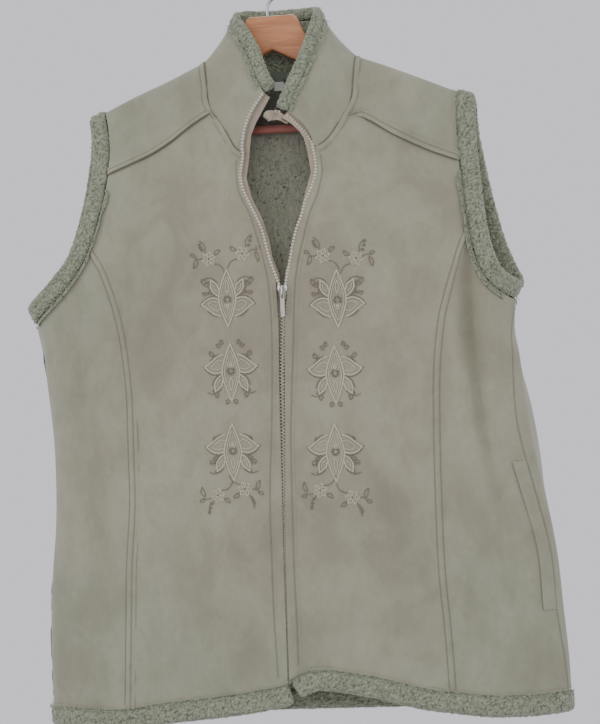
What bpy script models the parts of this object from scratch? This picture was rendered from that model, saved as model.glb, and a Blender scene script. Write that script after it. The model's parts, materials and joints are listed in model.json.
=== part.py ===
"""A sleeveless zip gilet of suede bonded to fleece, on a plain wooden hanger, cut and joined as a maker would.

Sizes below are in millimetres in one frame: the origin is the top inside of the hanger's hook, +Z is up, the front
faces -Y and +X is the viewer's right. They become metres when a mesh is written.
"""

import math

import bmesh
import bpy
from mathutils import Vector

MM = 0.001
WALL = 5.0  # suede outside, fleece inside, bonded into one layer
SEAM = 0.3  # clear space between neighbouring pieces
RIDGE = 13.0  # outer radius of the cloth where it folds over the hanger
REACH = 190.0  # how far below the shoulder line the body reaches its full depth
FRONT_DEPTH = 48.0
BACK_DEPTH = 34.0
SQUARENESS = 3.0  # a body section is a flat lens with round sides
COLLAR_TRIM = 16.0
ARM_TRIM = 21.5
HEM_TRIM = 24.0


class Table:
    """Rows of sizes under named columns, read between rows on a curve that never overshoots them."""

    def __init__(self, columns, rows):
        self.columns = columns.split()
        self.rows = sorted(rows)
        self.slopes = {name: self.tangents(name) for name in self.columns[1:]}

    def tangents(self, name):
        column = self.columns.index(name)
        places = [row[0] for row in self.rows]
        values = [row[column] for row in self.rows]
        steps = [
            (values[i + 1] - values[i]) / (places[i + 1] - places[i])
            for i in range(len(places) - 1)
        ]
        inner = [
            0.0 if a * b <= 0 else 2 * a * b / (a + b)
            for a, b in zip(steps, steps[1:])
        ]
        return [steps[0]] + inner + [steps[-1]]

    def at(self, place, name):
        column = self.columns.index(name)
        rows, slopes = self.rows, self.slopes[name]
        if place <= rows[0][0]:
            return rows[0][column] + slopes[0] * (place - rows[0][0])
        if place >= rows[-1][0]:
            return rows[-1][column] + slopes[-1] * (place - rows[-1][0])
        k = next(i for i in range(len(rows) - 1) if place <= rows[i + 1][0])
        span = rows[k + 1][0] - rows[k][0]
        s = (place - rows[k][0]) / span
        low, high = rows[k][column], rows[k + 1][column]
        return (
            low * (1 + 2 * s) * (1 - s) ** 2
            + high * s * s * (3 - 2 * s)
            + span * slopes[k] * s * (1 - s) ** 2
            - span * slopes[k + 1] * s * s * (1 - s)
        )


# The outline. Above the armpits these are the widths that the flat fronts and back are heading for.
SIDES = Table("z left right", (
    (-830, -268, 293),
    (-791, -268, 291),
    (-737, -268.5, 289.5),
    (-692, -267.5, 286.5),
    (-636, -262.5, 282.5),
    (-588, -257.5, 276),
    (-536, -256.5, 269),
    (-500, -257.5, 263.5),
    (-462, -261.5, 257.5),
    (-423, -265, 249.5),
    (-404, -267, 245.5),
    (-382, -271, 245.5),
    (-373, -276, 247.5),
    (-355, -285, 261),
    (-335, -295, 275),
    (-300, -313, 300),
    (-250, -338, 325),
    (-100, -385, 372),
))
CENTRE = Table("z x", (
    (-830, 2.1), (-700, 2.1), (-633, 2.4), (-519, 4.8), (-448, 6), (-382, 8.2), (-352, 8.9), (-210, 7.5), (-90, 7),
))
# The shoulder line, and between its neck ends the line that the neck's own slope starts from.
SHOULDER = Table("x z", (
    (-215, -159.5), (-185, -150.6), (-158, -138.5), (-136, -129.8), (-108, -119.5), (-91, -111.3), (-74, -104),
    (-45, -98.5), (7, -96), (55, -98.5), (82, -105.5), (93, -109.6), (114, -117.4), (135, -126.2), (166, -139.8),
    (192, -150.9), (222, -158.5),
))
# Where each panel ends at the armholes, on the front and on the less scooped back.
ARMHOLES = Table("z left_front right_front left_back right_back", (
    (-382, -271, 251, -271, 251),
    (-373, -261, 246, -265, 246.5),
    (-366, -251, 233, -258, 243),
    (-354, -237, 219, -248, 236),
    (-336, -219, 209.5, -236, 227.5),
    (-304, -198, 202, -219, 216),
    (-262, -186.5, 197.5, -203, 207),
    (-224, -180, 193.8, -192, 199),
    (-195, -178, 192, -187, 195),
    (-157, -182, 192.4, -185, 193),
    (-140, -185, 193, -185, 193),
))
# The cloth's edges along the zip, closed below the slider and falling open above it.
ZIP_EDGES = Table("z left right", (
    (-800, 1.2, 2.9), (-759, 1.2, 2.9), (-696, 1.3, 3.1), (-633, 1.2, 3.4), (-519, 2.3, 7.2), (-448, 2.8, 9.1),
    (-385, 4.6, 11.6), (-366, 3.9, 13.4), (-358, 3.6, 14.3), (-346, 3.5, 14.4), (-338, 2.6, 15),
    (-324, -2.7, 19.2), (-308, -6.4, 23), (-292, -10, 27.7), (-277, -15.8, 33.4), (-262, -22.7, 37.4),
    (-250, -28.6, 42.6), (-236, -31.3, 47), (-227, -31, 47.6), (-210, -28.5, 44.5),
))
YOKE_SEAM = Table("x z", (
    (-185, -224), (-179, -221.8), (-131, -203.2), (-98, -184), (-67, -163), (83, -169.5), (110, -186),
    (135, -200.8), (165, -216), (195, -228),
))
NECK_FRONT = Table("x z", (
    (-66.5, -163.5), (-57, -173.5), (-48.5, -184.5), (-40, -201), (-31, -209.5), (-26, -211),
    (41, -208.6), (44, -208), (52.5, -205.5), (64, -194), (74, -180), (83, -169),
))
YOKE_BACK = Table("x z", (
    (-192, -205), (-130, -168), (-60, -121.5), (74, -125.5), (135, -169), (200, -206),
))
NECK_BACK = Table("x z", ((-60, -121.5), (-35, -126.5), (5, -129), (50, -128), (74, -125.5)))
PRINCESS = Table("z left right", (
    (-790, -172, 171.5), (-718, -168.6, 168.5), (-632, -164.4, 163.3), (-569, -158.8, 162.9), (-463, -158.3, 164.6),
    (-400, -163.6, 170.2), (-368, -170, 178), (-339, -179, 187), (-316, -189, 194.5), (-304, -198, 199.5),
    (-300, -201, 201.5),
))
SIDE_SEAMS = Table("z left right", (
    (-792, 1.03, -3), (-738, 1.03, -6), (-684, 1.03, -9), (-641, 1.04, -8), (-595, 1.04, -11), (-548, 1.05, -16),
    (-508, 1.05, -19), (-474, 1.05, -17), (-430, 1.03, -9), (-395, 1.0, -2.5), (-373, 1.0, 0),
))
HEM = Table("x z", (
    (-272, -792), (-236, -789.5), (-200, -790.5), (-170, -788.4), (-133, -782), (-89, -776.6), (-45, -771.3),
    (-10, -764), (1, -761), (3, -757), (12.5, -751.6), (28, -746.4), (47, -746.4), (74, -750.6), (107, -756.7),
    (140, -766), (172, -770), (216, -775), (260, -775), (292, -774.5),
))
# Rows of every panel below the armholes, as heights at the zip.
LEVELS = (-304, -322, -338, -346, -358, -366, -390, -420, -450, -482, -516, -550, -584, -618, -652, -684, -714, -734, -749)
# Soft creases: a line through three places, its half width, and how far the cloth stands out (in, if negative).
FOLD_COLUMNS = "back x0 z0 x1 z1 x2 z2 half out".split()
FOLDS = (
    (0, 201, -332, 206, -430, 233, -605, 11, -8),
    (0, 224, -372, 228, -440, 243, -530, 12, 3.5),
    (0, 70, -528, 110, -580, 147, -650, 17, -3),
    (0, 158, -455, 157, -530, 153, -610, 13, 2.5),
    (0, 28, -560, 75, -610, 125, -665, 15, 2),
    (0, 54, -398, 90, -418, 128, -442, 12, -2.5),
    (0, 100, -455, 118, -490, 140, -520, 14, 1.8),
    (0, -213, -490, -219, -530, -214, -570, 20, -3),
    (0, -217, -600, -213, -640, -214, -690, 22, 3),
    (0, -135, -398, -102, -402, -70, -410, 12, -1.8),
    (0, -105, -672, -75, -700, -38, -722, 24, -2.5),
    (0, -60, -575, -85, -610, -95, -650, 16, 1.6),
    (0, 250, -600, 236, -640, 218, -680, 15, -3),
    (0, 268, -650, 268, -700, 262, -745, 13, 2.5),
    (0, -62, -222, -56, -255, -48, -300, 10, -2),
    (0, 76, -222, 70, -255, 62, -300, 10, -2),
    (0, -222, -372, -212, -400, -205, -440, 14, -3),
    (0, 140, -250, 128, -300, 122, -360, 18, -2),
    (0, -150, -262, -140, -300, -132, -350, 18, -1.8),
    (1, -120, -290, -112, -420, -96, -560, 24, -4),
    (1, 62, -250, 72, -430, 84, -610, 26, -4.5),
    (1, -196, -430, -188, -560, -192, -700, 20, -4),
    (1, 192, -430, 200, -560, 210, -720, 20, -4.5),
    (1, -30, -430, -26, -590, -18, -740, 26, 3.5),
    (1, 135, -380, 140, -520, 150, -690, 20, 3),
    (1, -110, -186, 5, -178, 115, -192, 15, -2.5),
)
# The collar's upper edge. s runs round the neck: 0 and 8 the zip, 1 and 7 the front yoke seams, 2 and 6 the
# shoulder line, 3 and 5 the back yoke seams, 4 the back. bow_x and bow_y push the middle of its height.
COLLAR = Table("s x y z bow_x bow_y", (
    (0.0, -3.5, -38, -148.5, -15, -2),
    (0.5, -12.5, -37, -135, -9, -4),
    (1.0, -20.5, -32, -112, -5, -7),
    (1.5, -31, -23, -89, -3, -5),
    (1.75, -40, -13, -77, 2, -2),
    (2.0, -45.5, -3, -69, 4, 0),
    (2.25, -46, 6, -64.5, 4, 1),
    (2.5, -43, 15, -62.5, 2, 3),
    (3.0, -35, 26, -61.5, 1, 4),
    (4.0, 6, 36, -61, 0, 5),
    (5.0, 47, 27, -62, -1, 4),
    (5.5, 53, 16, -63.5, -5, 3),
    (5.75, 56.5, 7, -65.5, -6, 1),
    (6.0, 57.5, -3, -71, -6, 0),
    (6.25, 56, -13, -82, -3, -2),
    (6.5, 52, -22, -98, 1, -5),
    (7.0, 42, -30, -123, 5, -7),
    (7.5, 31, -36, -146, 9, -4),
    (8.0, 21, -38, -169, 15, -2),
))
HANGER_TOP = Table("x z", (
    (0, -58.5), (24, -60), (28, -64), (35, -78.5), (48, -97), (62, -107.5), (76, -113),
))


def mix(a, b, s):
    return a + (b - a) * s


def clear_scene():
    for obj in list(bpy.data.objects):
        bpy.data.objects.remove(obj)


def section_lookup():
    """Places along a quarter of the flat lens section by length, from the middle (0) to the side (1)."""
    flatness = 0.17
    steps = 240
    places = [math.sin(math.pi / 2 * k / steps) for k in range(steps + 1)]
    heights = [(1 - u**SQUARENESS) ** (1 / SQUARENESS) if u < 1 else 0.0 for u in places]
    lengths = [0.0]
    for k in range(steps):
        step = math.hypot(places[k + 1] - places[k], flatness * (heights[k + 1] - heights[k]))
        lengths.append(lengths[-1] + step)
    return [(s / lengths[-1], u, v) for s, u, v in zip(lengths, places, heights)]


LOOKUP = section_lookup()
LENS = Table("s u v", LOOKUP)
LENS_BACK = Table("u s", [(u, s) for s, u, v in LOOKUP])


def half_width(z, right):
    return SIDES.at(z, "right") - CENTRE.at(z, "x") if right else CENTRE.at(z, "x") - SIDES.at(z, "left")


def depth_at(down, full):
    """How far the cloth stands from the hanger's plane, this far below the shoulder line."""
    if down < RIDGE:
        return math.sqrt(max(0.0, RIDGE**2 - (RIDGE - down) ** 2))
    return RIDGE + (full - RIDGE) * (0.5 - 0.5 * math.cos(math.pi * min((down - RIDGE) / (REACH - RIDGE), 1)))


def ring_place(x, z, back):
    """The place round the body, 0 front middle, 1 right side, 2 back middle, -1 left side, of a point on it."""
    right = x >= CENTRE.at(z, "x")
    share = min(abs(x - CENTRE.at(z, "x")) / half_width(z, right), 1.0)
    place = LENS_BACK.at(share, "s")
    place = 2 - place if back else place
    return place if right else -place


def fold_out(x, z, back):
    """How far the creases push the cloth out at a place."""
    total = 0.0
    for fold in FOLDS:
        row = dict(zip(FOLD_COLUMNS, fold))
        if row["back"] != back:
            continue
        corners = [(row["x0"], row["z0"]), (row["x1"], row["z1"]), (row["x2"], row["z2"])]
        best = None
        for leg, (start, end) in enumerate(zip(corners, corners[1:])):
            run = (end[0] - start[0], end[1] - start[1])
            s = ((x - start[0]) * run[0] + (z - start[1]) * run[1]) / (run[0] ** 2 + run[1] ** 2)
            inside = min(max(s, 0.0), 1.0)
            off = math.hypot(x - start[0] - inside * run[0], z - start[1] - inside * run[1])
            if best is None or off < best[0]:
                best = (off, (leg + inside) / 2)
        fade = math.sin(math.pi * min(max(best[1], 0.06), 0.94)) ** 0.6
        total += row["out"] * fade * math.exp(-((best[0] / row["half"]) ** 2))
    return total


def body_point(place, z):
    """A point of the outer cloth, at a place round the body and a height."""
    turn = (place + 2) % 4 - 2
    right = turn >= 0
    back = abs(turn) > 1
    share = 2 - abs(turn) if back else abs(turn)
    u, v = LENS.at(share, "u"), LENS.at(share, "v")
    x = CENTRE.at(z, "x") + (1 if right else -1) * half_width(z, right) * u
    deep = depth_at(SHOULDER.at(x, "z") - z, BACK_DEPTH if back else FRONT_DEPTH)
    out = fold_out(x, z, 1 if back else 0) * min(v * 1.6, 1.0)
    return Vector((x, (1 if back else -1) * (deep * v + out), z))


def body_frame(place, z):
    """A point of the outer cloth and the way it faces."""
    along = body_point(place + 0.006, z) - body_point(place - 0.006, z)
    up = body_point(place, z + 1.0) - body_point(place, z - 1.0)
    return body_point(place, z), along.cross(up).normalized()


def shoulder_frame(x, down, back):
    """The same, by x and distance below the shoulder line, where the cloth goes over the hanger."""
    z = SHOULDER.at(x, "z") - down
    if down >= RIDGE:
        return body_frame(ring_place(x, z, back), z)
    rise = 1 - down / RIDGE
    lean = math.sqrt(max(0.0, 1 - rise * rise))
    side = 1 if back else -1
    share = LENS.at(abs(ring_place(x, z, False)), "v")
    slope = (SHOULDER.at(x + 2, "z") - SHOULDER.at(x - 2, "z")) / 4
    facing = Vector((-slope * rise, side * lean, rise)).normalized()
    return Vector((x, side * RIDGE * lean * share, z)), facing


def material(name, colour, roughness, metallic=0.0):
    made = bpy.data.materials.new(name)
    made.use_nodes = True
    shader = made.node_tree.nodes["Principled BSDF"]
    shader.inputs["Base Color"].default_value = (*colour, 1)
    shader.inputs["Roughness"].default_value = roughness
    shader.inputs["Metallic"].default_value = metallic
    made.diffuse_color = (*colour, 1)
    return made


SUEDE = (0.31, 0.30, 0.245)
FLEECE = (0.235, 0.26, 0.205)
TAPE = (0.42, 0.36, 0.31)


def put(name, points, faces, colour, roughness=0.9, metallic=0.0):
    """A closed mesh of its own, from points in millimetres."""
    mesh = bpy.data.meshes.new(name)
    mesh.from_pydata([tuple(p * MM) for p in points], [], faces)
    shaped = bmesh.new()
    shaped.from_mesh(mesh)
    bmesh.ops.recalc_face_normals(shaped, faces=shaped.faces)
    shaped.to_mesh(mesh)
    shaped.free()
    obj = bpy.data.objects.new(name, mesh)
    parts.objects.link(obj)
    mesh.materials.append(material(name + "_finish", colour, roughness, metallic))
    return obj


def wall(name, frames, raised, colour=SUEDE, thick=WALL, lift=0.0):
    """A cloth wall from rows of (point, facing): its inner side is plain, its outer one carries what is raised."""
    rows, columns = len(frames), len(frames[0])
    outer = [p + n * (lift + raised(i, j)) for i, row in enumerate(frames) for j, (p, n) in enumerate(row)]
    inner = [p + n * (lift - thick) for row in frames for p, n in row]
    base = rows * columns
    faces = []
    for i in range(rows - 1):
        for j in range(columns - 1):
            a = i * columns + j
            quad = (a, a + 1, a + columns + 1, a + columns)
            faces.append(quad)
            faces.append(tuple(base + k for k in reversed(quad)))
    rim = [j for j in range(columns)]
    rim += [i * columns + columns - 1 for i in range(1, rows)]
    rim += [(rows - 1) * columns + j for j in range(columns - 2, -1, -1)]
    rim += [i * columns for i in range(rows - 2, 0, -1)]
    for a, b in zip(rim, rim[1:] + rim[:1]):
        faces.append((b, a, base + a, base + b))
    return put(name, outer + inner, faces, colour)


def roll(name, rail, section, colour=FLEECE, closed=False, flip=1):
    """A strip swept along an edge: rail holds (point, facing), the section (across, out) from that edge."""
    count = len(rail)
    points = []
    for i, (p, n) in enumerate(rail):
        before = rail[(i - 1) % count][0] if closed or i > 0 else p
        after = rail[(i + 1) % count][0] if closed or i < count - 1 else p
        across = n.cross((after - before).normalized()).normalized() * flip
        for b, out in section(i) if callable(section) else section:
            points.append(p + across * b + n * out)
    sides = len(points) // count
    faces = []
    for i in range(count if closed else count - 1):
        for k in range(sides):
            a, b = i * sides + k, i * sides + (k + 1) % sides
            c, d = ((i + 1) % count) * sides + (k + 1) % sides, ((i + 1) % count) * sides + k
            faces.append((a, b, c, d))
    if not closed:
        faces.append(tuple(range(sides)))
        faces.append(tuple(range((count - 1) * sides, count * sides)))
    return put(name, points, faces, colour, 0.95)


def zip_edge(z, side):
    return ZIP_EDGES.at(min(z, -210.0), side)


def side_place(z, side, gap):
    """The side seam's place round the body, moved by half a seam: below 0 towards the front."""
    if side == "left":
        return -(SIDE_SEAMS.at(z, "left") + gap)
    x = SIDES.at(z, "right") + min(SIDE_SEAMS.at(z, "right"), 0.0)
    return ring_place(x, z, False) + gap


# Columns of a front: shares of the way from the armhole or princess seam to the zip. The eighth meets the yoke's
# neck end. The near pairs carry the lapped seam and the stitched band beside the zip.
FRONT_SHARES = (0, 0.038, 0.052, 0.17, 0.31, 0.46, 0.61, 0.745, 0.85, 0.932, 0.949, 1)
NECK_COLUMN = 7
YOKE_SHARES = tuple(share / FRONT_SHARES[NECK_COLUMN] for share in FRONT_SHARES[: NECK_COLUMN + 1])
ARMPIT_STEPS = (0, 0.25, 0.5, 0.7, 0.84, 0.94, 1)
UPPER_ROWS = 4
BACK_STEPS = (0, 0.22, 0.44, 0.63, 0.78, 0.89, 0.96, 1)
HALF_SEAM = 0.21
PLACE_SEAM = 0.0007
CORNERS = {
    "left": {"princess_z": -304.0, "armpit_z": -382.0, "side_hem": -792.0, "ridge_x": -184.0, "neck_x": -74.0,
             "front_x": -67.0, "back_x": -60.0, "sign": -1},
    "right": {"princess_z": -300.0, "armpit_z": -373.0, "side_hem": -774.5, "ridge_x": 193.0, "neck_x": 91.0,
              "front_x": 83.0, "back_x": 74.0, "sign": 1},
}


def row_share(k):
    """How far down from the armpit row to the hem a row is."""
    last = -759.0
    return (LEVELS[k] - LEVELS[0]) / (last - LEVELS[0]) if k < len(LEVELS) else 1.0


def hem_sag(share):
    return max(0.0, (share - 0.75) / 0.25) ** 2


def front_centre(side):
    """Frames of a front, from its yoke and neck seams down to the hem."""
    corner = CORNERS[side]
    columns = len(FRONT_SHARES)
    bend = corner["princess_z"]

    def place_at(share, z):
        if z > bend:
            outer = ARMHOLES.at(z, side + "_front")
        else:
            outer = PRINCESS.at(z, side) - corner["sign"] * HALF_SEAM
        start = ring_place(outer, z, False)
        end = ring_place(zip_edge(z, side), z, False)
        return mix(start, end, share)

    top = []
    for j, share in enumerate(FRONT_SHARES):
        z = -200.0
        for _ in range(5):
            x = body_point(place_at(share, z), z).x
            z = (YOKE_SEAM if j <= NECK_COLUMN else NECK_FRONT).at(x, "z") - HALF_SEAM
        top.append(z)
    hem_outer = HEM.at(PRINCESS.at(-786, side), "z")
    hem_zip = HEM.at(1.2 if side == "left" else 2.9, "z")
    rows = []
    starts = [mix(bend, LEVELS[0], share) for share in FRONT_SHARES]
    for i in range(UPPER_ROWS):
        heights = [mix(top[j], starts[j], i / UPPER_ROWS) for j in range(columns)]
        rows.append([body_frame(place_at(FRONT_SHARES[j], heights[j]), heights[j]) for j in range(columns)])
    for k in range(len(LEVELS) + 1):
        down = row_share(k)
        row = []
        for share in FRONT_SHARES:
            z = mix(mix(bend, hem_outer, down), mix(LEVELS[0], hem_zip, down), share)
            x = body_point(place_at(share, z), z).x
            z += (HEM.at(x, "z") - mix(hem_outer, hem_zip, share)) * hem_sag(down)
            row.append(body_frame(place_at(share, z - 0.01), z))
        rows.append(row)
    return rows


def front_side(side):
    """Frames of a side front, from the armhole edge down to the hem, princess seam to side seam."""
    corner = CORNERS[side]

    def place_at(share, z):
        seam = PRINCESS.at(z, side) + corner["sign"] * HALF_SEAM
        start = ring_place(seam, z, False)
        return mix(start, side_place(z, side, -PLACE_SEAM), share)

    rows = [[]]
    places = []
    for j, step in enumerate(ARMPIT_STEPS):
        z = mix(corner["princess_z"], corner["armpit_z"], step)
        if j == 0:
            place = place_at(0, z - 0.5)
        elif j == len(ARMPIT_STEPS) - 1:
            place = side_place(z, side, -PLACE_SEAM)
        else:
            place = ring_place(ARMHOLES.at(z, side + "_front"), z, False)
        places.append(place)
        rows[0].append(body_frame(place, z))
    shares = [(place - places[0]) / (places[-1] - places[0]) for place in places]
    hem_outer = HEM.at(PRINCESS.at(-786, side), "z")
    for k in range(1, len(LEVELS) + 1):
        down = row_share(k)
        row = []
        for share, step in zip(shares, ARMPIT_STEPS):
            high = mix(corner["princess_z"], corner["armpit_z"], step)
            low = mix(hem_outer, corner["side_hem"], share)
            z = mix(high, low, down)
            x = body_point(place_at(share, z), z).x
            z += (HEM.at(x, "z") - low) * hem_sag(down)
            row.append(body_frame(place_at(share, z), z))
        rows.append(row)
    return rows


def back_panel():
    """Frames of the back, from the right side seam round to the left one."""
    neck_shares = (0.17, 0.34, 0.5, 0.66, 0.83)
    yoke_columns = len(YOKE_SHARES)

    def place_at(share, z):
        low_right, low_left = min(z, -204.4), min(z, -203.4)
        start = ring_place(ARMHOLES.at(low_right, "right_back"), low_right, True)
        end = 4 + ring_place(ARMHOLES.at(low_left, "left_back"), low_left, True)
        return mix(start, end, share)

    ends = []
    for side in ("right", "left"):
        x = CORNERS[side]["back_x"]
        z = YOKE_BACK.at(x, "z")
        first, last = place_at(0, z), place_at(1, z)
        ends.append(((ring_place(x, z, True) % 4) - first) / (last - first))
    right_end, left_end = ends
    shares = [share * right_end for share in YOKE_SHARES]
    shares += [mix(right_end, left_end, share) for share in neck_shares]
    shares += [1 - share * (1 - left_end) for share in reversed(YOKE_SHARES)]

    top = []
    for j, share in enumerate(shares):
        across_neck = yoke_columns <= j < len(shares) - yoke_columns
        seam = NECK_BACK if across_neck else YOKE_BACK
        z = -150.0
        for _ in range(6):
            x = body_point(place_at(share, z), z).x
            z = seam.at(x, "z") - 1.6 * HALF_SEAM
        top.append(z)
    rows = []
    for step in BACK_STEPS[:-1]:
        row = []
        for j, share in enumerate(shares):
            z = mix(top[j], mix(-373.0, -382.0, share), step)
            row.append(body_frame(place_at(share, z), z))
        rows.append(row)
    for k in range(len(LEVELS) + 1):
        down = row_share(k)
        low_right = mix(CORNERS["right"]["armpit_z"], CORNERS["right"]["side_hem"], down)
        low_left = mix(CORNERS["left"]["armpit_z"], CORNERS["left"]["side_hem"], down)
        start = side_place(low_right, "right", PLACE_SEAM)
        end = 4 + side_place(low_left, "left", PLACE_SEAM)
        row = []
        for share in shares:
            z = mix(low_right, low_left, share)
            row.append(body_frame(mix(start, end, share), z))
        rows.append(row)
    return rows, shares


def yoke(side):
    """Frames of a yoke, from the front seam over the shoulder to the back seam, armhole to neck."""
    corner = CORNERS[side]
    arcs = [RIDGE * (1 - math.cos(math.radians(turn))) for turn in (90, 58, 29)]
    plan = [(False, q) for q in (1, 0.88, 0.8, 0.4)] + [(False, -down) for down in arcs] + [(False, 0.0)]
    plan += [(True, -down) for down in reversed(arcs)] + [(True, q) for q in (0.4, 0.8, 0.88, 1)]
    rows = []
    for back, q in plan:
        row = []
        for share in YOKE_SHARES:
            x = mix(corner["ridge_x"], corner["neck_x"], share)
            down = -q
            for _ in range(6):
                seam = (YOKE_BACK if back else YOKE_SEAM).at(x, "z") + HALF_SEAM
                full = SHOULDER.at(x, "z") - seam
                down = mix(RIDGE, full, q) if q > 0 else -q
                z = SHOULDER.at(x, "z") - down
                edge = ARMHOLES.at(z, side + ("_back" if back else "_front"))
                edge = mix(corner["ridge_x"], edge, min(down / RIDGE, 1))
                neck = mix(corner["neck_x"], corner["back_x" if back else "front_x"], min(down / full, 1))
                x = mix(edge, neck, share)
            row.append(shoulder_frame(x, down, back))
        rows.append(row)
    return rows


def no_relief(i, j):
    return 0.0


def front_relief(i, j):
    band = 1.3 if j >= len(FRONT_SHARES) - 2 else 0.0
    return max(band, 0.9 if j < 2 and i >= UPPER_ROWS else 0.0)


def yoke_relief(i, j):
    return 1.0 if i < 2 or i > 10 else 0.0


def joined(*runs):
    """Edges of several pieces as one line, without the second point of each seam."""
    line = []
    for run in runs:
        for frame in run:
            if not line or (frame[0] - line[-1][0]).length > 1.2:
                line.append(frame)
    return line


def trim_section(width, out=2.2, back=8.2):
    """A turned fleece edge: thick, round at its free side, with the stitched groove along its middle."""
    return (
        (2.0, -WALL), (0.5, 0.6), (width * 0.14, out), (width * 0.38, out + 0.9), (width * 0.53, out - 0.5),
        (width * 0.68, out + 0.7), (width * 0.88, out - 0.6), (width, -2.6), (width * 0.9, -back + 1),
        (width * 0.55, -back), (width * 0.15, -back + 1),
    )


def neck_ring(fronts, yokes, back):
    """The neck seam as (s, point, facing), from the left zip edge round the back to the right one."""
    ring = []
    left_front = [fronts["left"][0][j] for j in range(len(FRONT_SHARES) - 1, NECK_COLUMN - 1, -1)]
    left_yoke = [row[-1] for row in yokes["left"]]
    across = [back[0][j] for j in range(len(back[0]) - len(YOKE_SHARES), len(YOKE_SHARES) - 2, -1)]
    right_yoke = [row[-1] for row in reversed(yokes["right"])]
    right_front = [fronts["right"][0][j] for j in range(NECK_COLUMN, len(FRONT_SHARES))]
    for start, end, run in (
        (0, 1, left_front), (1, 3, left_yoke), (3, 5, across), (5, 7, right_yoke), (7, 8, right_front),
    ):
        lengths = [0.0]
        for a, b in zip(run, run[1:]):
            lengths.append(lengths[-1] + (b[0] - a[0]).length)
        for length, (point, facing) in zip(lengths, run):
            if not ring or (point - ring[-1][1]).length > 1.2:
                ring.append((mix(start, end, length / lengths[-1]), point, facing))
    return ring


COLLAR_ROWS = (0, 0.14, 0.34, 0.56, 0.78, 1)


def collar_frames(ring):
    """Frames of the stand collar between the neck seam and its table of upper-edge places."""
    columns = []
    for s, low, facing in ring:
        high = Vector((COLLAR.at(s, "x"), COLLAR.at(s, "y"), COLLAR.at(s, "z")))
        middle = (low + high) / 2 + Vector((COLLAR.at(s, "bow_x"), COLLAR.at(s, "bow_y"), 0))
        low = low + (middle - low).normalized() * 1.15
        columns.append([low * (1 - v) ** 2 + middle * 2 * v * (1 - v) + high * v * v for v in COLLAR_ROWS])
    frames = []
    last = len(columns) - 1
    for i in range(len(COLLAR_ROWS)):
        row = []
        for j, column in enumerate(columns):
            along = columns[min(j + 1, last)][i] - columns[max(j - 1, 0)][i]
            up = column[min(i + 1, len(COLLAR_ROWS) - 1)] - column[max(i - 1, 0)]
            row.append((column[i], up.cross(along).normalized()))
        frames.append(row)
    return frames


TAPE_SHOWS = Table("z left right", (
    (-372, 2.6, 2.6), (-340, 5, 5), (-324, 4.2, 3), (-300, 4.2, 2.6), (-277, 4.6, 3), (-262, 4.8, 4.4), (-236, 4.6, 5.6),
    (-213, 4.2, 4.6), (-200, 4.4, 4.4), (-183, 5.4, 5.2), (-168, 7, 6), (-156, 7, 6.4), (-148, 5, 6),
))


def tape_section(rail, side):
    """The zip tape at each place of its rail: sewn behind the cloth, and showing beyond its edge."""
    under, front, thick = -4.5, -WALL - 1.0, 1.1

    def at(i):
        z = rail[i][0].z
        shows = TAPE_SHOWS.at(min(z, -148), side)
        if z < -350:
            shows = (zip_edge(z, "right") - zip_edge(z, "left")) / 2 - 0.2
        clear = front - 1.0 * math.exp(-(((z + 207) / 15) ** 2))
        return ((under, clear), (shows, clear), (shows, clear - thick), (under, clear - thick))

    return at


def welt_frames(side):
    """Frames of a pocket's welt, beside the side seam and facing out of the side front."""
    rows = []
    for k in range(10):
        z = mix(-538.0, -690.0, k / 9)
        seam = side_place(z, side, 0)
        width = 13.5 / half_width(z, side == "right")
        start, end = abs(seam) - width, abs(seam) - 0.004
        sign = 1 if side == "right" else -1
        rows.append([body_frame(sign * mix(start, end, share), z) for share in (0, 0.12, 0.5, 0.88, 1)])
    return rows


def welt_relief(i, j):
    return -0.9 if i in (0, 9) or j in (0, 4) else 0.0


def build_cloth():
    fronts = {side: front_centre(side) for side in CORNERS}
    sides = {side: front_side(side) for side in CORNERS}
    yokes = {side: yoke(side) for side in CORNERS}
    back, shares = back_panel()
    wall("back", back, no_relief)
    for side in CORNERS:
        wall("front_" + side, fronts[side], front_relief)
        wall("side_front_" + side, sides[side], no_relief)
        wall("yoke_" + side, yokes[side], yoke_relief)
        wall("pocket_welt_" + side, welt_frames(side), welt_relief, thick=2.4, lift=3.1)
    collar = collar_frames(neck_ring(fronts, yokes, back))
    wall("collar", collar, lambda i, j: 1.1 if j in (0, len(collar[0]) - 1) else 0.0)
    roll("collar_trim", collar[-1], trim_section(COLLAR_TRIM, 1.8, 7.6), flip=-1)
    ridge_row = len(yokes["left"]) // 2
    for side in CORNERS:
        edge = [row[0] for row in yokes[side]]
        back_edge = [row[0 if side == "right" else -1] for row in back[: len(BACK_STEPS)]]
        down = joined(
            edge[ridge_row::-1],
            [row[0] for row in fronts[side][: UPPER_ROWS + 1]],
            sides[side][0],
            list(reversed(back_edge)),
            list(reversed(edge[ridge_row + 1:])),
        )
        roll("armhole_trim_" + side, down, trim_section(ARM_TRIM), closed=True, flip=CORNERS[side]["sign"])
        rail = joined(
            [row[-1] for row in reversed(fronts[side][:-1])],
            [row[0 if side == "left" else -1] for row in collar],
        )
        roll("zip_tape_" + side, rail, tape_section(rail, side), TAPE, flip=CORNERS[side]["sign"])
    hem = joined(
        list(reversed(fronts["left"][-1])), sides["left"][-1], list(reversed(back[-1])),
        list(reversed(sides["right"][-1])), fronts["right"][-1],
    )
    roll("hem_trim", hem, trim_section(HEM_TRIM, 2.6, 8.4), flip=1)


def join_shape(target, cutter, operation):
    """Applies a Boolean for good and removes the helper."""
    step = target.modifiers.new(operation.lower(), "BOOLEAN")
    step.operation = operation
    step.solver = "EXACT"
    step.object = cutter
    bpy.context.view_layer.update()
    graph = bpy.context.evaluated_depsgraph_get()
    made = bpy.data.meshes.new_from_object(target.evaluated_get(graph))
    target.modifiers.clear()
    target.data = made
    bpy.data.objects.remove(cutter)


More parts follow.
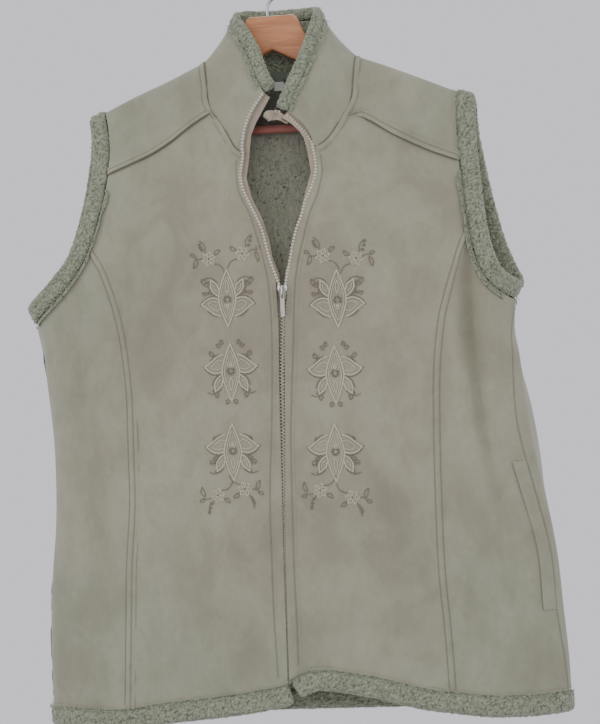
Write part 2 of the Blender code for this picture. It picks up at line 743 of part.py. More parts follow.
def block(name, centre, size, bevel=0.0, home=None):
    """A box in millimetres, with its edges rounded."""
    mesh = bpy.data.meshes.new(name)
    shaped = bmesh.new()
    bmesh.ops.create_cube(shaped, size=1.0)
    for vertex in shaped.verts:
        vertex.co = Vector(c + s * v for c, s, v in zip(centre, size, vertex.co)) * MM
    if bevel:
        bmesh.ops.bevel(
            shaped, geom=shaped.edges[:], offset=bevel * MM, segments=2, profile=0.6, affect="EDGES",
        )
    shaped.to_mesh(mesh)
    shaped.free()
    obj = bpy.data.objects.new(name, mesh)
    (home or parts).objects.link(obj)
    return obj


def rod(name, centre, radius, length, sides=20, home=None):
    """A cylinder along X, in millimetres."""
    mesh = bpy.data.meshes.new(name)
    shaped = bmesh.new()
    bmesh.ops.create_cone(
        shaped, cap_ends=True, segments=sides, radius1=radius * MM, radius2=radius * MM, depth=length * MM,
    )
    for vertex in shaped.verts:
        x, y, z = vertex.co
        vertex.co = Vector((z + centre[0] * MM, y + centre[1] * MM, -x + centre[2] * MM))
    shaped.to_mesh(mesh)
    shaped.free()
    obj = bpy.data.objects.new(name, mesh)
    (home or parts).objects.link(obj)
    return obj


SLIDER = {"x": 8.95, "z": -356.8, "face": -51.6, "width": 9.2, "height": 15.2}
AXIS = Vector((8.95, -54.0, -356.5))


def build_slider():
    """The slider's body with its bridge, and the pull tab whose round bar turns inside the bridge."""
    depth = 8.2
    middle = (SLIDER["x"], SLIDER["face"] + depth / 2, SLIDER["z"])
    body = block("zip_slider", middle, (SLIDER["width"], depth, SLIDER["height"]), 1.1)
    low = min(v.co.z for v in body.data.vertices)
    for vertex in body.data.vertices:
        if vertex.co.z < low + 3.5 * MM:
            vertex.co.x = mix(SLIDER["x"] * MM, vertex.co.x, 0.68)
    bridge = block("bridge", (AXIS.x, AXIS.y + 1.2, AXIS.z + 1.0), (2.2, 7.4, 6.8), 0.5, cutters)
    join_shape(body, bridge, "UNION")
    join_shape(body, rod("eye", tuple(AXIS), 1.15, 8.0, 16, cutters), "DIFFERENCE")
    body.data.materials.append(material("zip_slider_finish", (0.62, 0.62, 0.58), 0.35, 0.9))
    plate = block("zip_pull", (AXIS.x, AXIS.y, AXIS.z - 12.8), (4.3, 1.2, 25.6), 0.3)
    for vertex in plate.data.vertices:
        if vertex.co.z > (AXIS.z - 1.5) * MM:
            vertex.co.z = AXIS.z * MM
    window = block("window", (AXIS.x, AXIS.y, AXIS.z - 1.4), (2.9, 6.0, 9.2), 0.0, cutters)
    join_shape(plate, window, "DIFFERENCE")
    join_shape(plate, rod("bar", tuple(AXIS), 0.75, 4.1, 12, cutters), "UNION")
    plate.data.materials.append(material("zip_pull_finish", (0.62, 0.62, 0.58), 0.35, 0.9))


def build_label():
    """The blank tab sewn into the back neck."""
    outline = (
        (-4.5, -118), (13, -118), (13, -125.5), (9.6, -125.5), (9.6, -138.5), (-0.8, -138.5), (-0.8, -125.5),
        (-4.5, -125.5),
    )
    near, far = 6.9, 7.8
    points = [Vector((x, y, z)) for y in (near, far) for x, z in outline]
    count = len(outline)
    faces = [tuple(range(count)), tuple(range(2 * count - 1, count - 1, -1))]
    faces += [(k, (k + 1) % count, count + (k + 1) % count, count + k) for k in range(count)]
    put("neck_label", points, faces, (0.78, 0.77, 0.72), 0.8)


BAR = {"z": -180.4, "radius": 4.6, "end": 156.0}


def build_hanger():
    """A flat wooden hanger under the shoulder line, its trouser bar and its wire hook."""
    half = 5.8
    under = 2.2 + WALL
    top = [(x, SHOULDER.at(x, "z") - under) for x in (-172, -150, -125, -100, -86)]
    top += [(-x, z) for x, z in reversed(HANGER_TOP.rows[1:])]
    top += list(HANGER_TOP.rows[1:])
    top += [(x, SHOULDER.at(x, "z") - under) for x in (92, 108, 130, 155, 178)]
    low = [
        (182, -166), (180, -182), (172, -191), (158, -191), (149, -183), (140, -170), (110, -152), (60, -127),
        (0, -96.5), (-60, -127), (-108, -152), (-136, -170), (-145, -183), (-154, -191), (-166, -191),
        (-173, -182), (-175, -166),
    ]
    outline = top + low
    count = len(outline)
    points = [Vector((x, y, z)) for y in (-half, half) for x, z in outline]
    faces = [tuple(range(count)), tuple(range(2 * count - 1, count - 1, -1))]
    faces += [(k, (k + 1) % count, count + (k + 1) % count, count + k) for k in range(count)]
    wood = put("hanger_wood", points, faces, (0.48, 0.24, 0.13), 0.45)
    shaped = bmesh.new()
    shaped.from_mesh(wood.data)
    rims = [e for e in shaped.edges if abs(e.verts[0].co.y - e.verts[1].co.y) < 1e-6]
    bmesh.ops.bevel(shaped, geom=rims, offset=3.2 * MM, segments=2, profile=0.5, affect="EDGES")
    shaped.to_mesh(wood.data)
    shaped.free()
    bar_hole = rod("bar_hole", (2.0, 0, BAR["z"]), BAR["radius"] + 0.35, 2 * BAR["end"] + 1.2, 24, cutters)
    join_shape(wood, bar_hole, "DIFFERENCE")
    bar = rod("hanger_bar", (2.0, 0, BAR["z"]), BAR["radius"], 2 * BAR["end"], 20)
    bar.data.materials.append(material("hanger_bar_finish", (0.26, 0.08, 0.06), 0.45))
    wire = 1.75
    rise = bpy.data.meshes.new("hook_hole")
    shaped = bmesh.new()
    bmesh.ops.create_cone(
        shaped, cap_ends=True, segments=16, radius1=(wire + 0.35) * MM, radius2=(wire + 0.35) * MM, depth=30 * MM,
    )
    bmesh.ops.translate(shaped, verts=shaped.verts, vec=Vector((-4, 0, -62)) * MM)
    shaped.to_mesh(rise)
    shaped.free()
    hole = bpy.data.objects.new("hook_hole", rise)
    cutters.objects.link(hole)
    join_shape(wood, hole, "DIFFERENCE")
    turn = 19.0 + wire
    path = [(-4, -76.4), (-4, -62), (-4, -50), (-1.5, -44.2), (4.2, -40.3)]
    path += [
        (turn * math.cos(math.radians(a)), -19 + turn * math.sin(math.radians(a)))
        for a in (-56, -28, 0, 30, 60, 90, 120, 150, 180, 205)
    ]
    line = bpy.data.curves.new("hanger_hook", "CURVE")
    line.dimensions = "3D"
    line.resolution_u = 3
    line.bevel_depth = wire * MM
    line.bevel_resolution = 2
    line.use_fill_caps = True
    spline = line.splines.new("BEZIER")
    spline.bezier_points.add(len(path) - 1)
    for knot, (x, z) in zip(spline.bezier_points, path):
        knot.co = Vector((x, 0, z)) * MM
        knot.handle_left_type = knot.handle_right_type = "AUTO"
    hook = bpy.data.objects.new("hanger_hook", line)
    parts.objects.link(hook)
    line.materials.append(material("hanger_hook_finish", (0.55, 0.55, 0.55), 0.3, 1.0))


clear_scene()
parts = bpy.data.collections.new("gilet_on_hanger")
bpy.context.scene.collection.children.link(parts)
cutters = bpy.data.collections.new("cutters")
cutters.hide_render = True
bpy.context.scene.collection.children.link(cutters)
build_cloth()
build_slider()
build_label()
build_hanger()
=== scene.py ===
# A zip gilet of suede-faced fleece on its wooden hanger. Metres, front towards -Y, +Z up.
import json
import math
import random

import bmesh
import bpy
import numpy as np
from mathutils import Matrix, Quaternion, Vector
from mathutils.bvhtree import BVHTree

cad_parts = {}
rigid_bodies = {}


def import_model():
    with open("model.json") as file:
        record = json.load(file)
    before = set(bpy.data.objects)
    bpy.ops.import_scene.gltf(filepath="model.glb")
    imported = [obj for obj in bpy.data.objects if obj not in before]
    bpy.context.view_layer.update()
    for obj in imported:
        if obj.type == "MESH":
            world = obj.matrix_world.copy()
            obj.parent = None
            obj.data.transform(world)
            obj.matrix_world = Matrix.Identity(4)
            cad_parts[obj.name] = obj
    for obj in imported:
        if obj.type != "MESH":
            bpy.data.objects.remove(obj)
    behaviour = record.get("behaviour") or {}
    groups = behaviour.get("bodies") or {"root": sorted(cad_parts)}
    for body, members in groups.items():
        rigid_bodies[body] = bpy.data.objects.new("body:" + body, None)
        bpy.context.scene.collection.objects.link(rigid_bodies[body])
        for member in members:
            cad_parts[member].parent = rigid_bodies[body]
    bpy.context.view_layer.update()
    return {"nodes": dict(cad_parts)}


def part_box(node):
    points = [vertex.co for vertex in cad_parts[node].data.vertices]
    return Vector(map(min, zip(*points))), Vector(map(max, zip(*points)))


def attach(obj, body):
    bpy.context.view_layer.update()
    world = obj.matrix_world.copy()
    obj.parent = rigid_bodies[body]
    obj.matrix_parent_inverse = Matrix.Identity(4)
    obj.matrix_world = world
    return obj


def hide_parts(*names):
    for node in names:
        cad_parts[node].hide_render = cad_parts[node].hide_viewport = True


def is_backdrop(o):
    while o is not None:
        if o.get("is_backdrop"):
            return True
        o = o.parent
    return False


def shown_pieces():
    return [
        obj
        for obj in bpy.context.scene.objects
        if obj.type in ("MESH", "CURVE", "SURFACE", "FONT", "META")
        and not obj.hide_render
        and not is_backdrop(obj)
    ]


for old in list(bpy.data.objects):
    bpy.data.objects.remove(old)
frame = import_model()
body = "gilet"
print("frame loaded")

camera = {"place": (0.25565, -1.50153, -0.4293), "aim": (0.021, -0.020, -0.4293), "lens": 71.03, "tipDegrees": 2.0}
studio = {
    "worldColour": (0.80, 0.785, 0.855),
    "worldStrength": 1.06,
    "floorHeight": -1.30,
    "floorRadius": 1.75,
    "lights": (
        # place, aim, size, watts, colour
        ((-2.3, -1.5, 0.5), (0, 0, -0.4), 1.0, 13, (1.0, 0.99, 0.95)),
        ((2.3, -1.7, 0.2), (0.1, 0, -0.45), 1.1, 7.5, (1.0, 0.99, 0.96)),
        ((0.25, -2.4, 0.25), (0, 0, -0.35), 0.9, 6.5, (1.0, 0.99, 0.96)),
        ((0.3, 2.2, 0.9), (0, 0, -0.4), 1.8, 12, (1.0, 1.0, 1.0)),
    ),
}


def setStudio():
    bpy.ops.object.camera_add(location=camera["place"])
    eye = bpy.context.object
    forward = (Vector(camera["aim"]) - Vector(camera["place"])).normalized()
    eye.rotation_mode = "QUATERNION"
    eye.rotation_quaternion = Quaternion(forward, math.radians(camera["tipDegrees"])) @ forward.to_track_quat("-Z", "Y")
    eye.data.lens = camera["lens"]
    eye.data.sensor_width = 36
    bpy.context.scene.camera = eye
    for place, aim, size, watts, colour in studio["lights"]:
        bpy.ops.object.light_add(type="AREA", location=place)
        light = bpy.context.object
        light.rotation_euler = (Vector(aim) - Vector(place)).to_track_quat("-Z", "Y").to_euler()
        light.data.size = size
        light.data.energy = watts
        light.data.color = colour
    world = bpy.data.worlds.new("softRoom")
    world.use_nodes = True
    world.node_tree.nodes["Background"].inputs[0].default_value = (*studio["worldColour"], 1)
    world.node_tree.nodes["Background"].inputs[1].default_value = studio["worldStrength"]
    bpy.context.scene.world = world
    bpy.ops.mesh.primitive_circle_add(
        vertices=96, radius=studio["floorRadius"], fill_type="NGON", location=(0, 0, studio["floorHeight"]),
    )
    floor = bpy.context.object
    floor.name = "paleFloor"
    paint = bpy.data.materials.new("paleFloor")
    paint.use_nodes = True
    paint.node_tree.nodes["Principled BSDF"].inputs["Base Color"].default_value = (0.62, 0.62, 0.65, 1)
    paint.node_tree.nodes["Principled BSDF"].inputs["Roughness"].default_value = 0.9
    floor.data.materials.append(paint)
    floor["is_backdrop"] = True


setStudio()
print("camera, lights and floor set")


# A few short ways of working with nodes, so that each finish below reads as a recipe.
class Recipe:
    def __init__(self, name, roughness, sheen=0.0, sheenRoughness=0.5, metallic=0.0, specular=0.3):
        self.material = bpy.data.materials.new(name)
        self.material.use_nodes = True
        self.tree = self.material.node_tree
        self.shader = self.tree.nodes["Principled BSDF"]
        self.feed(self.shader, {
            "Roughness": roughness, "Metallic": metallic, "Specular IOR Level": specular,
            "Sheen Weight": sheen, "Sheen Roughness": sheenRoughness,
        })
        self.place = self.add("TexCoord").outputs["Object"]

    def feed(self, node, sockets):
        # Each socket gets another node's output, a colour or a plain value.
        for key, value in sockets.items():
            socket = node.inputs[key]
            if isinstance(value, bpy.types.NodeSocket):
                self.tree.links.new(value, socket)
            else:
                socket.default_value = (*value, 1) if socket.type == "RGBA" else value

    def add(self, kind, sockets=None, **settings):
        node = self.tree.nodes.new("ShaderNode" + kind)
        for key, value in settings.items():
            setattr(node, key, value)
        self.feed(node, sockets or {})
        return node

    def noise(self, scale, detail=3.0, roughness=0.5, stretch=(1, 1, 1), distortion=0.0):
        place = self.add("Mapping", {"Scale": stretch, "Vector": self.place}).outputs["Vector"]
        sockets = {"Scale": scale, "Detail": detail, "Roughness": roughness, "Distortion": distortion, "Vector": place}
        return self.add("TexNoise", sockets).outputs["Fac"]

    def wave(self, direction, scale, distortion=0.0):
        sockets = {"Scale": scale, "Distortion": distortion, "Vector": self.place}
        return self.add("TexWave", sockets, wave_type="BANDS", bands_direction=direction).outputs["Fac"]

    def attribute(self, name):
        return self.add("Attribute", attribute_name=name).outputs["Fac"]

    def height(self):
        return self.add("SeparateXYZ", {"Vector": self.place}).outputs["Z"]

    def ramp(self, factor, *stops):
        node = self.add("ValToRGB", {"Fac": factor})
        elements = node.color_ramp.elements
        while len(elements) < len(stops):
            elements.new(0.5)
        for element, (position, colour) in zip(elements, stops):
            element.position = position
            element.color = (*colour, 1)
        return node.outputs["Color"]

    def grey(self, factor, low, high, start=0.35, end=0.65):
        sockets = {"From Min": start, "From Max": end, "To Min": low, "To Max": high, "Value": factor}
        return self.add("MapRange", sockets).outputs["Result"]

    def blend(self, a, b, factor):
        return self.add("Mix", {0: factor, 6: a, 7: b}, data_type="RGBA").outputs[2]

    def maths(self, operation, a, b):
        return self.add("Math", {0: a, 1: b}, operation=operation).outputs[0]

    def finish(self, colour, *heights):
        # The colour, then each bump as its height, strength and depth, one on the other.
        self.feed(self.shader, {"Base Color": colour})
        normal = {}
        for height, strength, depth in heights:
            node = self.add("Bump", {"Strength": strength, "Distance": depth, "Height": height, **normal})
            normal = {"Normal": node.outputs["Normal"]}
        self.feed(self.shader, normal)
        return self.material


suede = {
    "green": (0.298, 0.314, 0.220),
    "warm": (0.330, 0.306, 0.219),
    "dark": (0.225, 0.214, 0.146),
    "light": (0.405, 0.402, 0.300),
    # painted shade for the seams' grooves and the deep creases
    "groove": (0.130, 0.118, 0.078),
    "middle": (-0.02 / 0.30, 0, 0.44 / 0.36),  # the warmer cloth round the zip
    "reach": (1 / 0.30, 0.5, 1 / 0.36),
}


def suedeFinish():
    mix = Recipe("brushedSuede", 0.88, sheen=0.28, sheenRoughness=0.55, specular=0.12)
    middle = mix.add("Mapping", {"Location": suede["middle"], "Scale": suede["reach"], "Vector": mix.place})
    warmth = mix.add("TexGradient", {"Vector": middle.outputs["Vector"]}, gradient_type="SPHERICAL").outputs["Fac"]
    broad = mix.noise(6.5, 4, 0.55)
    patches = mix.noise(26, 5, 0.6, (1, 1, 0.7), 0.4)
    mottle = mix.noise(110, 5, 0.65, (1.2, 1, 0.8), 0.8)
    nap = mix.noise(900, 3, 0.6)
    clouds = mix.noise(11, 3, 0.5, (1, 1, 0.55), 0.6)
    tone = mix.blend(suede["green"], suede["warm"], mix.grey(mix.maths("ADD", warmth, broad), 0, 1, 0.45, 1.05))
    for texture, shade, low, high, start, end in (
        (clouds, "light", 0.0, 0.50, 0.48, 0.70),
        (clouds, "dark", 0.34, 0.0, 0.30, 0.50),
        (patches, "light", 0.0, 0.45, 0.46, 0.72),
        (patches, "dark", 0.36, 0.0, 0.28, 0.52),
        (mottle, "dark", 0.25, 0.0, 0.30, 0.55),
        (nap, "light", 0.0, 0.22, 0.48, 0.75),
    ):
        tone = mix.blend(tone, suede[shade], mix.grey(texture, low, high, start, end))
    # painted shade: the suede darkens in the seams and the deep creases
    tone = mix.blend(tone, suede["groove"], mix.attribute("seamShade"))  # darker in seams and deep creases
    return mix.finish(tone, (mottle, 0.22, 0.0006), (nap, 0.30, 0.0003))


pile = {
    "edge": {
        "tip": (0.355, 0.388, 0.270), "mid": (0.228, 0.253, 0.172),
        "deep": (0.100, 0.114, 0.074), "gold": (0.38, 0.385, 0.24),
    },
    "lining": {
        "tip": (0.650, 0.660, 0.500), "mid": (0.510, 0.518, 0.388),
        "deep": (0.340, 0.346, 0.252), "gold": (0.64, 0.63, 0.46),
    },
}
# Painted shade: the lining darkens up inside the collar, over two stretches of height.
paintedCollarShade = {"tone": (0.085, 0.080, 0.064), "heights": ((-0.29, -0.20, 0.40), (-0.186, -0.179, 0.80))}


def pileFinish(name, tones, attribute=None, lie=(1, 1, 1), relief=0.8):
    # Curly pile, coloured by height: painted shade darkens it between the curls, and the tips are lighter. Where the
    # curls are real, their height is read.
    mix = Recipe(name, 0.95, sheen=0.35, sheenRoughness=0.6, specular=0.1)
    fine = mix.noise(1500, 3, 0.6)
    flecks = mix.noise(420, 4, 0.6, lie, 1.2)
    lined = tones is pile["lining"]
    if attribute:
        spread = mix.grey(flecks, 0.0, 1.0, 0.34, 0.66) if lined else flecks
        curl = mix.maths("MULTIPLY", mix.attribute(attribute), relief)
        height = mix.maths("ADD", curl, mix.maths("MULTIPLY", spread, 1 - relief))
        bumps = (flecks, 0.5, 0.0006), (fine, 0.5, 0.0003)
    else:
        cells = mix.add("TexVoronoi", {"Scale": 360, "Vector": mix.place}, feature="F1").outputs["Distance"]
        height = mix.maths("SUBTRACT", mix.maths("ADD", 0.72, mix.maths("MULTIPLY", flecks, 0.45)), cells)
        bumps = (height, 0.9, 0.0022), (fine, 0.5, 0.0004)
    # painted shade: the lower the curl, the darker its colour
    tone = mix.ramp(height, (0.12, tones["deep"]), (0.42, tones["mid"]), (0.82, tones["tip"]))
    tone = mix.blend(tone, tones["gold"], mix.grey(flecks, 0.0, 0.35, 0.55, 0.72))
    # painted shade in the hollows of the fine bumps
    tone = mix.blend(tone, tones["deep"], mix.grey(fine, 0.30, 0.0, 0.30, 0.5))
    # painted shade inside the collar, for the lining only
    for start, end, most in paintedCollarShade["heights"] if lined else ():
        tone = mix.blend(tone, paintedCollarShade["tone"], mix.grey(mix.height(), 0.0, most, start, end))
    return mix.finish(tone, *bumps)


def threadFinish(name, light, dark):
    mix = Recipe(name, 0.62, sheen=0.25, specular=0.35)
    twist = mix.noise(1600, 2, 0.5, (1, 1, 0.4))
    return mix.finish(mix.blend(dark, light, mix.grey(twist, 0.0, 1.0, 0.32, 0.62)), (twist, 0.4, 0.0002))


def tapeFinish():
    mix = Recipe("zipTape", 0.85, sheen=0.15, specular=0.2)
    weave = mix.wave("DIAGONAL", 420, 1.5)
    stain = mix.grey(mix.noise(60, 3, 0.6), 0.0, 0.6, 0.50, 0.66)
    tone = mix.blend((0.40, 0.33, 0.26), (0.53, 0.455, 0.365), weave)
    return mix.finish(mix.blend(tone, (0.55, 0.50, 0.30), stain), (weave, 0.4, 0.0003))


def labelFinish():
    # A bare white tab under a dark green woven strip.
    mix = Recipe("blankLabel", 0.8, sheen=0.1, specular=0.2)
    weave = mix.wave("Z", 480)
    strip = mix.blend((0.105, 0.125, 0.092), (0.19, 0.215, 0.16), weave)
    tab = mix.blend((0.62, 0.62, 0.56), (0.78, 0.78, 0.73), weave)
    above = mix.grey(mix.height(), 0.0, 1.0, label["seam"] - 0.0002, label["seam"] + 0.0002)
    return mix.finish(mix.blend(tab, strip, above), (weave, 0.3, 0.0002))


def zipFinish(name, light, dark, roughness, metallic):
    mix = Recipe(name, roughness, metallic=metallic, specular=0.5)
    wear = mix.noise(500, 4, 0.6)
    return mix.finish(mix.blend(dark, light, mix.grey(wear, 0.1, 1.0, 0.35, 0.6)), (wear, 0.15, 0.0001))


def woodFinish():
    mix = Recipe("lacqueredBeech", 0.38, specular=0.45)
    mix.feed(mix.shader, {"Coat Weight": 0.25, "Coat Roughness": 0.2})
    grain = mix.noise(36, 6, 0.62, (0.35, 1, 2.6), 1.4)
    fibre = mix.noise(260, 4, 0.6, (0.12, 1, 2.2), 0.3)
    pores = mix.noise(900, 2, 0.5, (0.2, 1, 2.0))
    tone = mix.ramp(grain, (0.30, (0.43, 0.165, 0.060)), (0.50, (0.53, 0.225, 0.092)), (0.72, (0.62, 0.30, 0.135)))
    tone = mix.blend(tone, (0.33, 0.120, 0.045), mix.grey(fibre, 0.34, 0.0, 0.32, 0.50))
    tone = mix.blend(tone, (0.22, 0.080, 0.032), mix.grey(pores, 0.30, 0.0, 0.26, 0.38))
    return mix.finish(tone, (fibre, 0.12, 0.0002))


def barFinish():
    mix = Recipe("stainedDowel", 0.42, specular=0.4)
    fibre = mix.noise(120, 5, 0.6, (0.08, 1, 1), 0.3)
    return mix.finish(mix.ramp(fibre, (0.3, (0.24, 0.082, 0.062)), (0.7, (0.46, 0.165, 0.120))), (fibre, 0.12, 0.0002))


def wireFinish():
    mix = Recipe("brightWire", 0.28, metallic=1.0, specular=0.5)
    draw = mix.noise(300, 3, 0.5, (1, 1, 0.1))
    return mix.finish(mix.blend((0.34, 0.34, 0.35), (0.62, 0.62, 0.63), mix.grey(draw, 0.0, 1.0)), (draw, 0.1, 0.0001))


label = {"seam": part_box("neck_label")[0][2] + 0.0095}
finishes = {
    "suede": suedeFinish(),
    "inside": pileFinish("fleeceInside", pile["edge"]),
    "insideCurls": pileFinish("fleeceInsideCurls", pile["lining"], "curlHeight", (1, 1, 0.3), 0.35),
    "pile": pileFinish("fleeceEdge", pile["edge"], "curlHeight"),
    "thread": threadFinish("sewingThread", (0.33, 0.32, 0.235), (0.20, 0.19, 0.13)),
    "pale": threadFinish("paleEmbroidery", (0.60, 0.56, 0.41), (0.44, 0.41, 0.29)),
    "mauve": threadFinish("mauveEmbroidery", (0.235, 0.200, 0.148), (0.150, 0.124, 0.090)),
    "tape": tapeFinish(),
    "label": labelFinish(),
    "teeth": zipFinish("zipTeeth", (0.72, 0.70, 0.60), (0.50, 0.48, 0.39), 0.36, 0.0),
    # the closed teeth are the same teeth in darker colours, painted shade for their recess
    "chain": zipFinish("closedZipTeethShaded", (0.50, 0.485, 0.385), (0.33, 0.32, 0.245), 0.42, 0.0),
    "slider": zipFinish("zipSliderBody", (0.33, 0.325, 0.275), (0.19, 0.185, 0.155), 0.38, 0.5),
    "crown": zipFinish("zipSliderCrown", (0.88, 0.88, 0.82), (0.66, 0.65, 0.59), 0.26, 0.2),
    "tab": zipFinish("zipPullTab", (0.66, 0.62, 0.56), (0.46, 0.43, 0.385), 0.36, 0.3),
    "wood": woodFinish(),
    "bar": barFinish(),
    "wire": wireFinish(),
}
print("finishes mixed")


def selectOnly(obj):
    bpy.ops.object.select_all(action="DESELECT")
    obj.select_set(True)
    bpy.context.view_layer.objects.active = obj


def applyAll(obj):
    selectOnly(obj)
    for step in list(obj.modifiers):
        bpy.ops.object.modifier_apply(modifier=step.name)


def addStep(obj, kind, **settings):
    step = obj.modifiers.new(kind.lower(), kind)
    for key, value in settings.items():
        setattr(step, key, value)


def smoothed(obj, levels):
    addStep(obj, "SUBSURF", levels=levels, render_levels=levels)


def keepValues(obj, name, values):
    # One number a point, for the finish to read.
    obj.data.attributes.new(name, "FLOAT", "POINT").data.foreach_set("value", np.asarray(values, np.float32))


def readPoints(obj):
    points = np.empty(len(obj.data.vertices) * 3, np.float32)
    obj.data.vertices.foreach_get("co", points)
    return points.reshape(-1, 3).astype(float)


def writePoints(obj, points):
    obj.data.vertices.foreach_set("co", points.astype(np.float32).reshape(-1))
    obj.data.update()


def readNormals(obj):
    normals = np.empty(len(obj.data.vertices) * 3, np.float32)
    obj.data.vertex_normals.foreach_get("vector", normals)
    return normals.reshape(-1, 3).astype(float)


def copySolid(node, name):
    # The node's triangles, merged into quads again, as a new piece.
    obj = frame["nodes"][node].copy()
    obj.data = obj.data.copy()
    obj.name = name
    obj.data.name = name
    obj.parent = None
    for key in list(obj.keys()):
        del obj[key]
    bpy.context.scene.collection.objects.link(obj)
    obj.data.materials.clear()
    selectOnly(obj)
    if obj.data.has_custom_normals:
        bpy.ops.mesh.customdata_custom_splitnormals_clear()
    bpy.ops.object.mode_set(mode="EDIT")
    bpy.ops.mesh.select_all(action="SELECT")
    bpy.ops.mesh.remove_doubles(threshold=0.00002)
    bpy.ops.mesh.tris_convert_to_quads(face_threshold=math.radians(60), shape_threshold=math.radians(60))
    bpy.ops.object.mode_set(mode="OBJECT")
    return obj


def finishPiece(obj, nodes=(), rider=body):
    selectOnly(obj)
    bpy.ops.object.shade_smooth_by_angle(angle=math.radians(42))
    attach(obj, rider)
    if nodes:
        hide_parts(*nodes)
    return obj


# Soft creases of the whole garment: three places along each, half its width, and how far it stands out.
creases = {
    "front": (
        # x0, z0, x1, z1, x2, z2, half, out, all in millimetres
        (201, -300, 199.5, -430, 221, -572, 7, -5.5),
        (217, -320, 217, -440, 240, -570, 9, 4.2),
        (222, -570, 236, -598, 254, -614, 9, -2.6),
        (184, -398, 191, -404, 198, -406, 5, -1.4),
        (176, -300, 184, -400, 200, -480, 12, 1.6),
        (-213, -420, -222, -520, -214, -600, 16, -2.6),
        (72, -520, 112, -580, 150, -656, 15, -2.4),
        (30, -560, 78, -612, 128, -668, 14, 1.8),
        (-108, -672, -76, -700, -36, -724, 20, -2.0),
        (-120, -236, -96, -262, -84, -300, 9, -1.0),
        (-60, -330, -88, -352, -126, -360, 12, -1.1),
        (-148, -430, -120, -452, -86, -462, 10, 0.9),
        (-30, -540, -62, -566, -104, -574, 15, -1.1),
        (-22, -610, -52, -650, -70, -704, 12, 1.0),
        (-120, -610, -112, -660, -122, -716, 13, -1.0),
        (-232, -420, -226, -470, -232, -520, 9, 1.3),
        (-186, -540, -196, -590, -190, -650, 11, -1.2),
        (-240, -640, -232, -690, -238, -740, 9, 1.2),
        (60, -300, 92, -318, 132, -316, 12, -1.0),
        (36, -430, 62, -446, 96, -450, 10, 0.9),
        (126, -560, 120, -610, 128, -660, 10, -1.0),
        (40, -600, 52, -652, 50, -712, 12, 1.1),
        (84, -690, 116, -708, 150, -716, 10, -0.9),
        (186, -430, 194, -480, 210, -520, 9, 1.2),
        (176, -620, 190, -660, 186, -730, 12, -1.2),
        (150, -200, 120, -206, 96, -222, 8, -0.8),
        (-150, -196, -122, -204, -96, -220, 8, -0.8),
        (-44, -222, -52, -252, -44, -286, 7, 0.8),
        (62, -226, 66, -254, 56, -284, 7, 0.8),
    ),
    "back": (
        (-60, -200, -20, -216, 30, -210, 14, -1.2),
        (-160, -330, -130, -352, -84, -356, 14, -1.3),
        (150, -330, 116, -356, 70, -362, 14, -1.3),
        (-90, -470, -70, -540, -80, -620, 13, 1.3),
        (20, -380, 26, -460, 14, -540, 16, -1.2),
        (110, -560, 118, -640, 104, -720, 12, 1.2),
        (-180, -600, -168, -660, -176, -730, 13, -1.3),
        (50, -640, 60, -700, 44, -745, 11, -1.1),
    ),
}


def creaseShift(points):
    # How far each point moves along Y: the front's creases ahead of the side seams, the back's behind them.
    shift = np.zeros(len(points))
    for side, sign in (("front", -1.0), ("back", 1.0)):
        share = np.clip(0.5 + sign * points[:, 1] / 0.016, 0, 1)
        for x0, z0, x1, z1, x2, z2, half, out in creases[side]:
            along = np.linspace(0, 1, 73)[:, None]
            start, bend, end = np.array([x0, z0]), np.array([x1, z1]), np.array([x2, z2])
            middle = 2 * bend - (start + end) / 2
            line = (start * (1 - along) ** 2 + middle * 2 * along * (1 - along) + end * along ** 2) / 1000
            near = np.all(np.abs(points[:, [0, 2]] - line.mean(0)) < (np.ptp(line, axis=0) / 2 + half * 0.003), axis=1)
            if not near.any():
                continue
            gap = np.linalg.norm(points[near][:, None, [0, 2]] - line[None], axis=2)
            place = gap.argmin(1) / 72
            fade = np.sin(np.pi * np.clip(0.12 + 0.76 * place, 0, 1)) ** 0.8
            fall = np.exp(-((gap.min(1) / (half / 1000)) ** 2))
            shift[near] += share[near] * sign * out / 1000 * fade * fall
    return shift


def restCloth(points):
    # The creases and a slight unevenness, the same for every piece that lies there.
    x, y, z = points.T
    moved = points.copy()
    wave = 0.35 * np.sin(71 * x + 19 * z + 1.3) * np.sin(43 * z - 12 * x)
    wave += 0.22 * np.sin(150 * x - 60 * z) * np.sin(117 * z + 40 * x + 0.7)
    below = np.clip((-0.14 - z) / 0.05, 0, 1)
    facing = np.clip(y / 0.016, -1, 1)
    moved[:, 1] += creaseShift(points) * below + wave / 1000 * below * facing
    return moved


cloth = {
    "levels": 2, "sideLevels": 3, "roll": 0.0007, "press": {"left": 0.8, "right": 0.6},
    "deepCrease": 0.005, "creaseShade": 0.34,
}


def splitSheets(obj, node):
    # Sharp edges part the outer side, the inner side and the cut rim. The inner side is the fleece.
    work = bmesh.new()
    work.from_mesh(obj.data)
    work.faces.ensure_lookup_table()
    crease = work.edges.layers.float.get("crease_edge") or work.edges.layers.float.new("crease_edge")
    sharp = set()
    for edge in work.edges:
        if len(edge.link_faces) == 2 and edge.calc_face_angle() > math.radians(48):
            sharp.add(edge)
            edge[crease] = 1.0
    groups = []
    seen = set()
    for first in work.faces:
        if first in seen:
            continue
        group, queue = [], [first]
        seen.add(first)
        while queue:
            face = queue.pop()
            group.append(face)
            for edge in face.edges:
                if edge in sharp:
                    continue
                for other in edge.link_faces:
                    if other not in seen:
                        seen.add(other)
                        queue.append(other)
        groups.append(group)
    groups.sort(key=lambda group: -sum(face.calc_area() for face in group))
    lift = 3.0 if "yoke" in node else 0.0

    def outwards(group):
        total = 0.0
        for face in group:
            c = face.calc_center_median()
            n = face.normal
            total += face.calc_area() * (n.x * (c.x - 0.01) * 0.5 + n.y * c.y * 6 + n.z * (c.z + 0.25) * lift)
        return total

    sheets = sorted(groups[:2], key=outwards)
    for face in work.faces:
        face.material_index = 0
    for face in sheets[0]:
        face.material_index = 1
    work.to_mesh(obj.data)
    work.free()


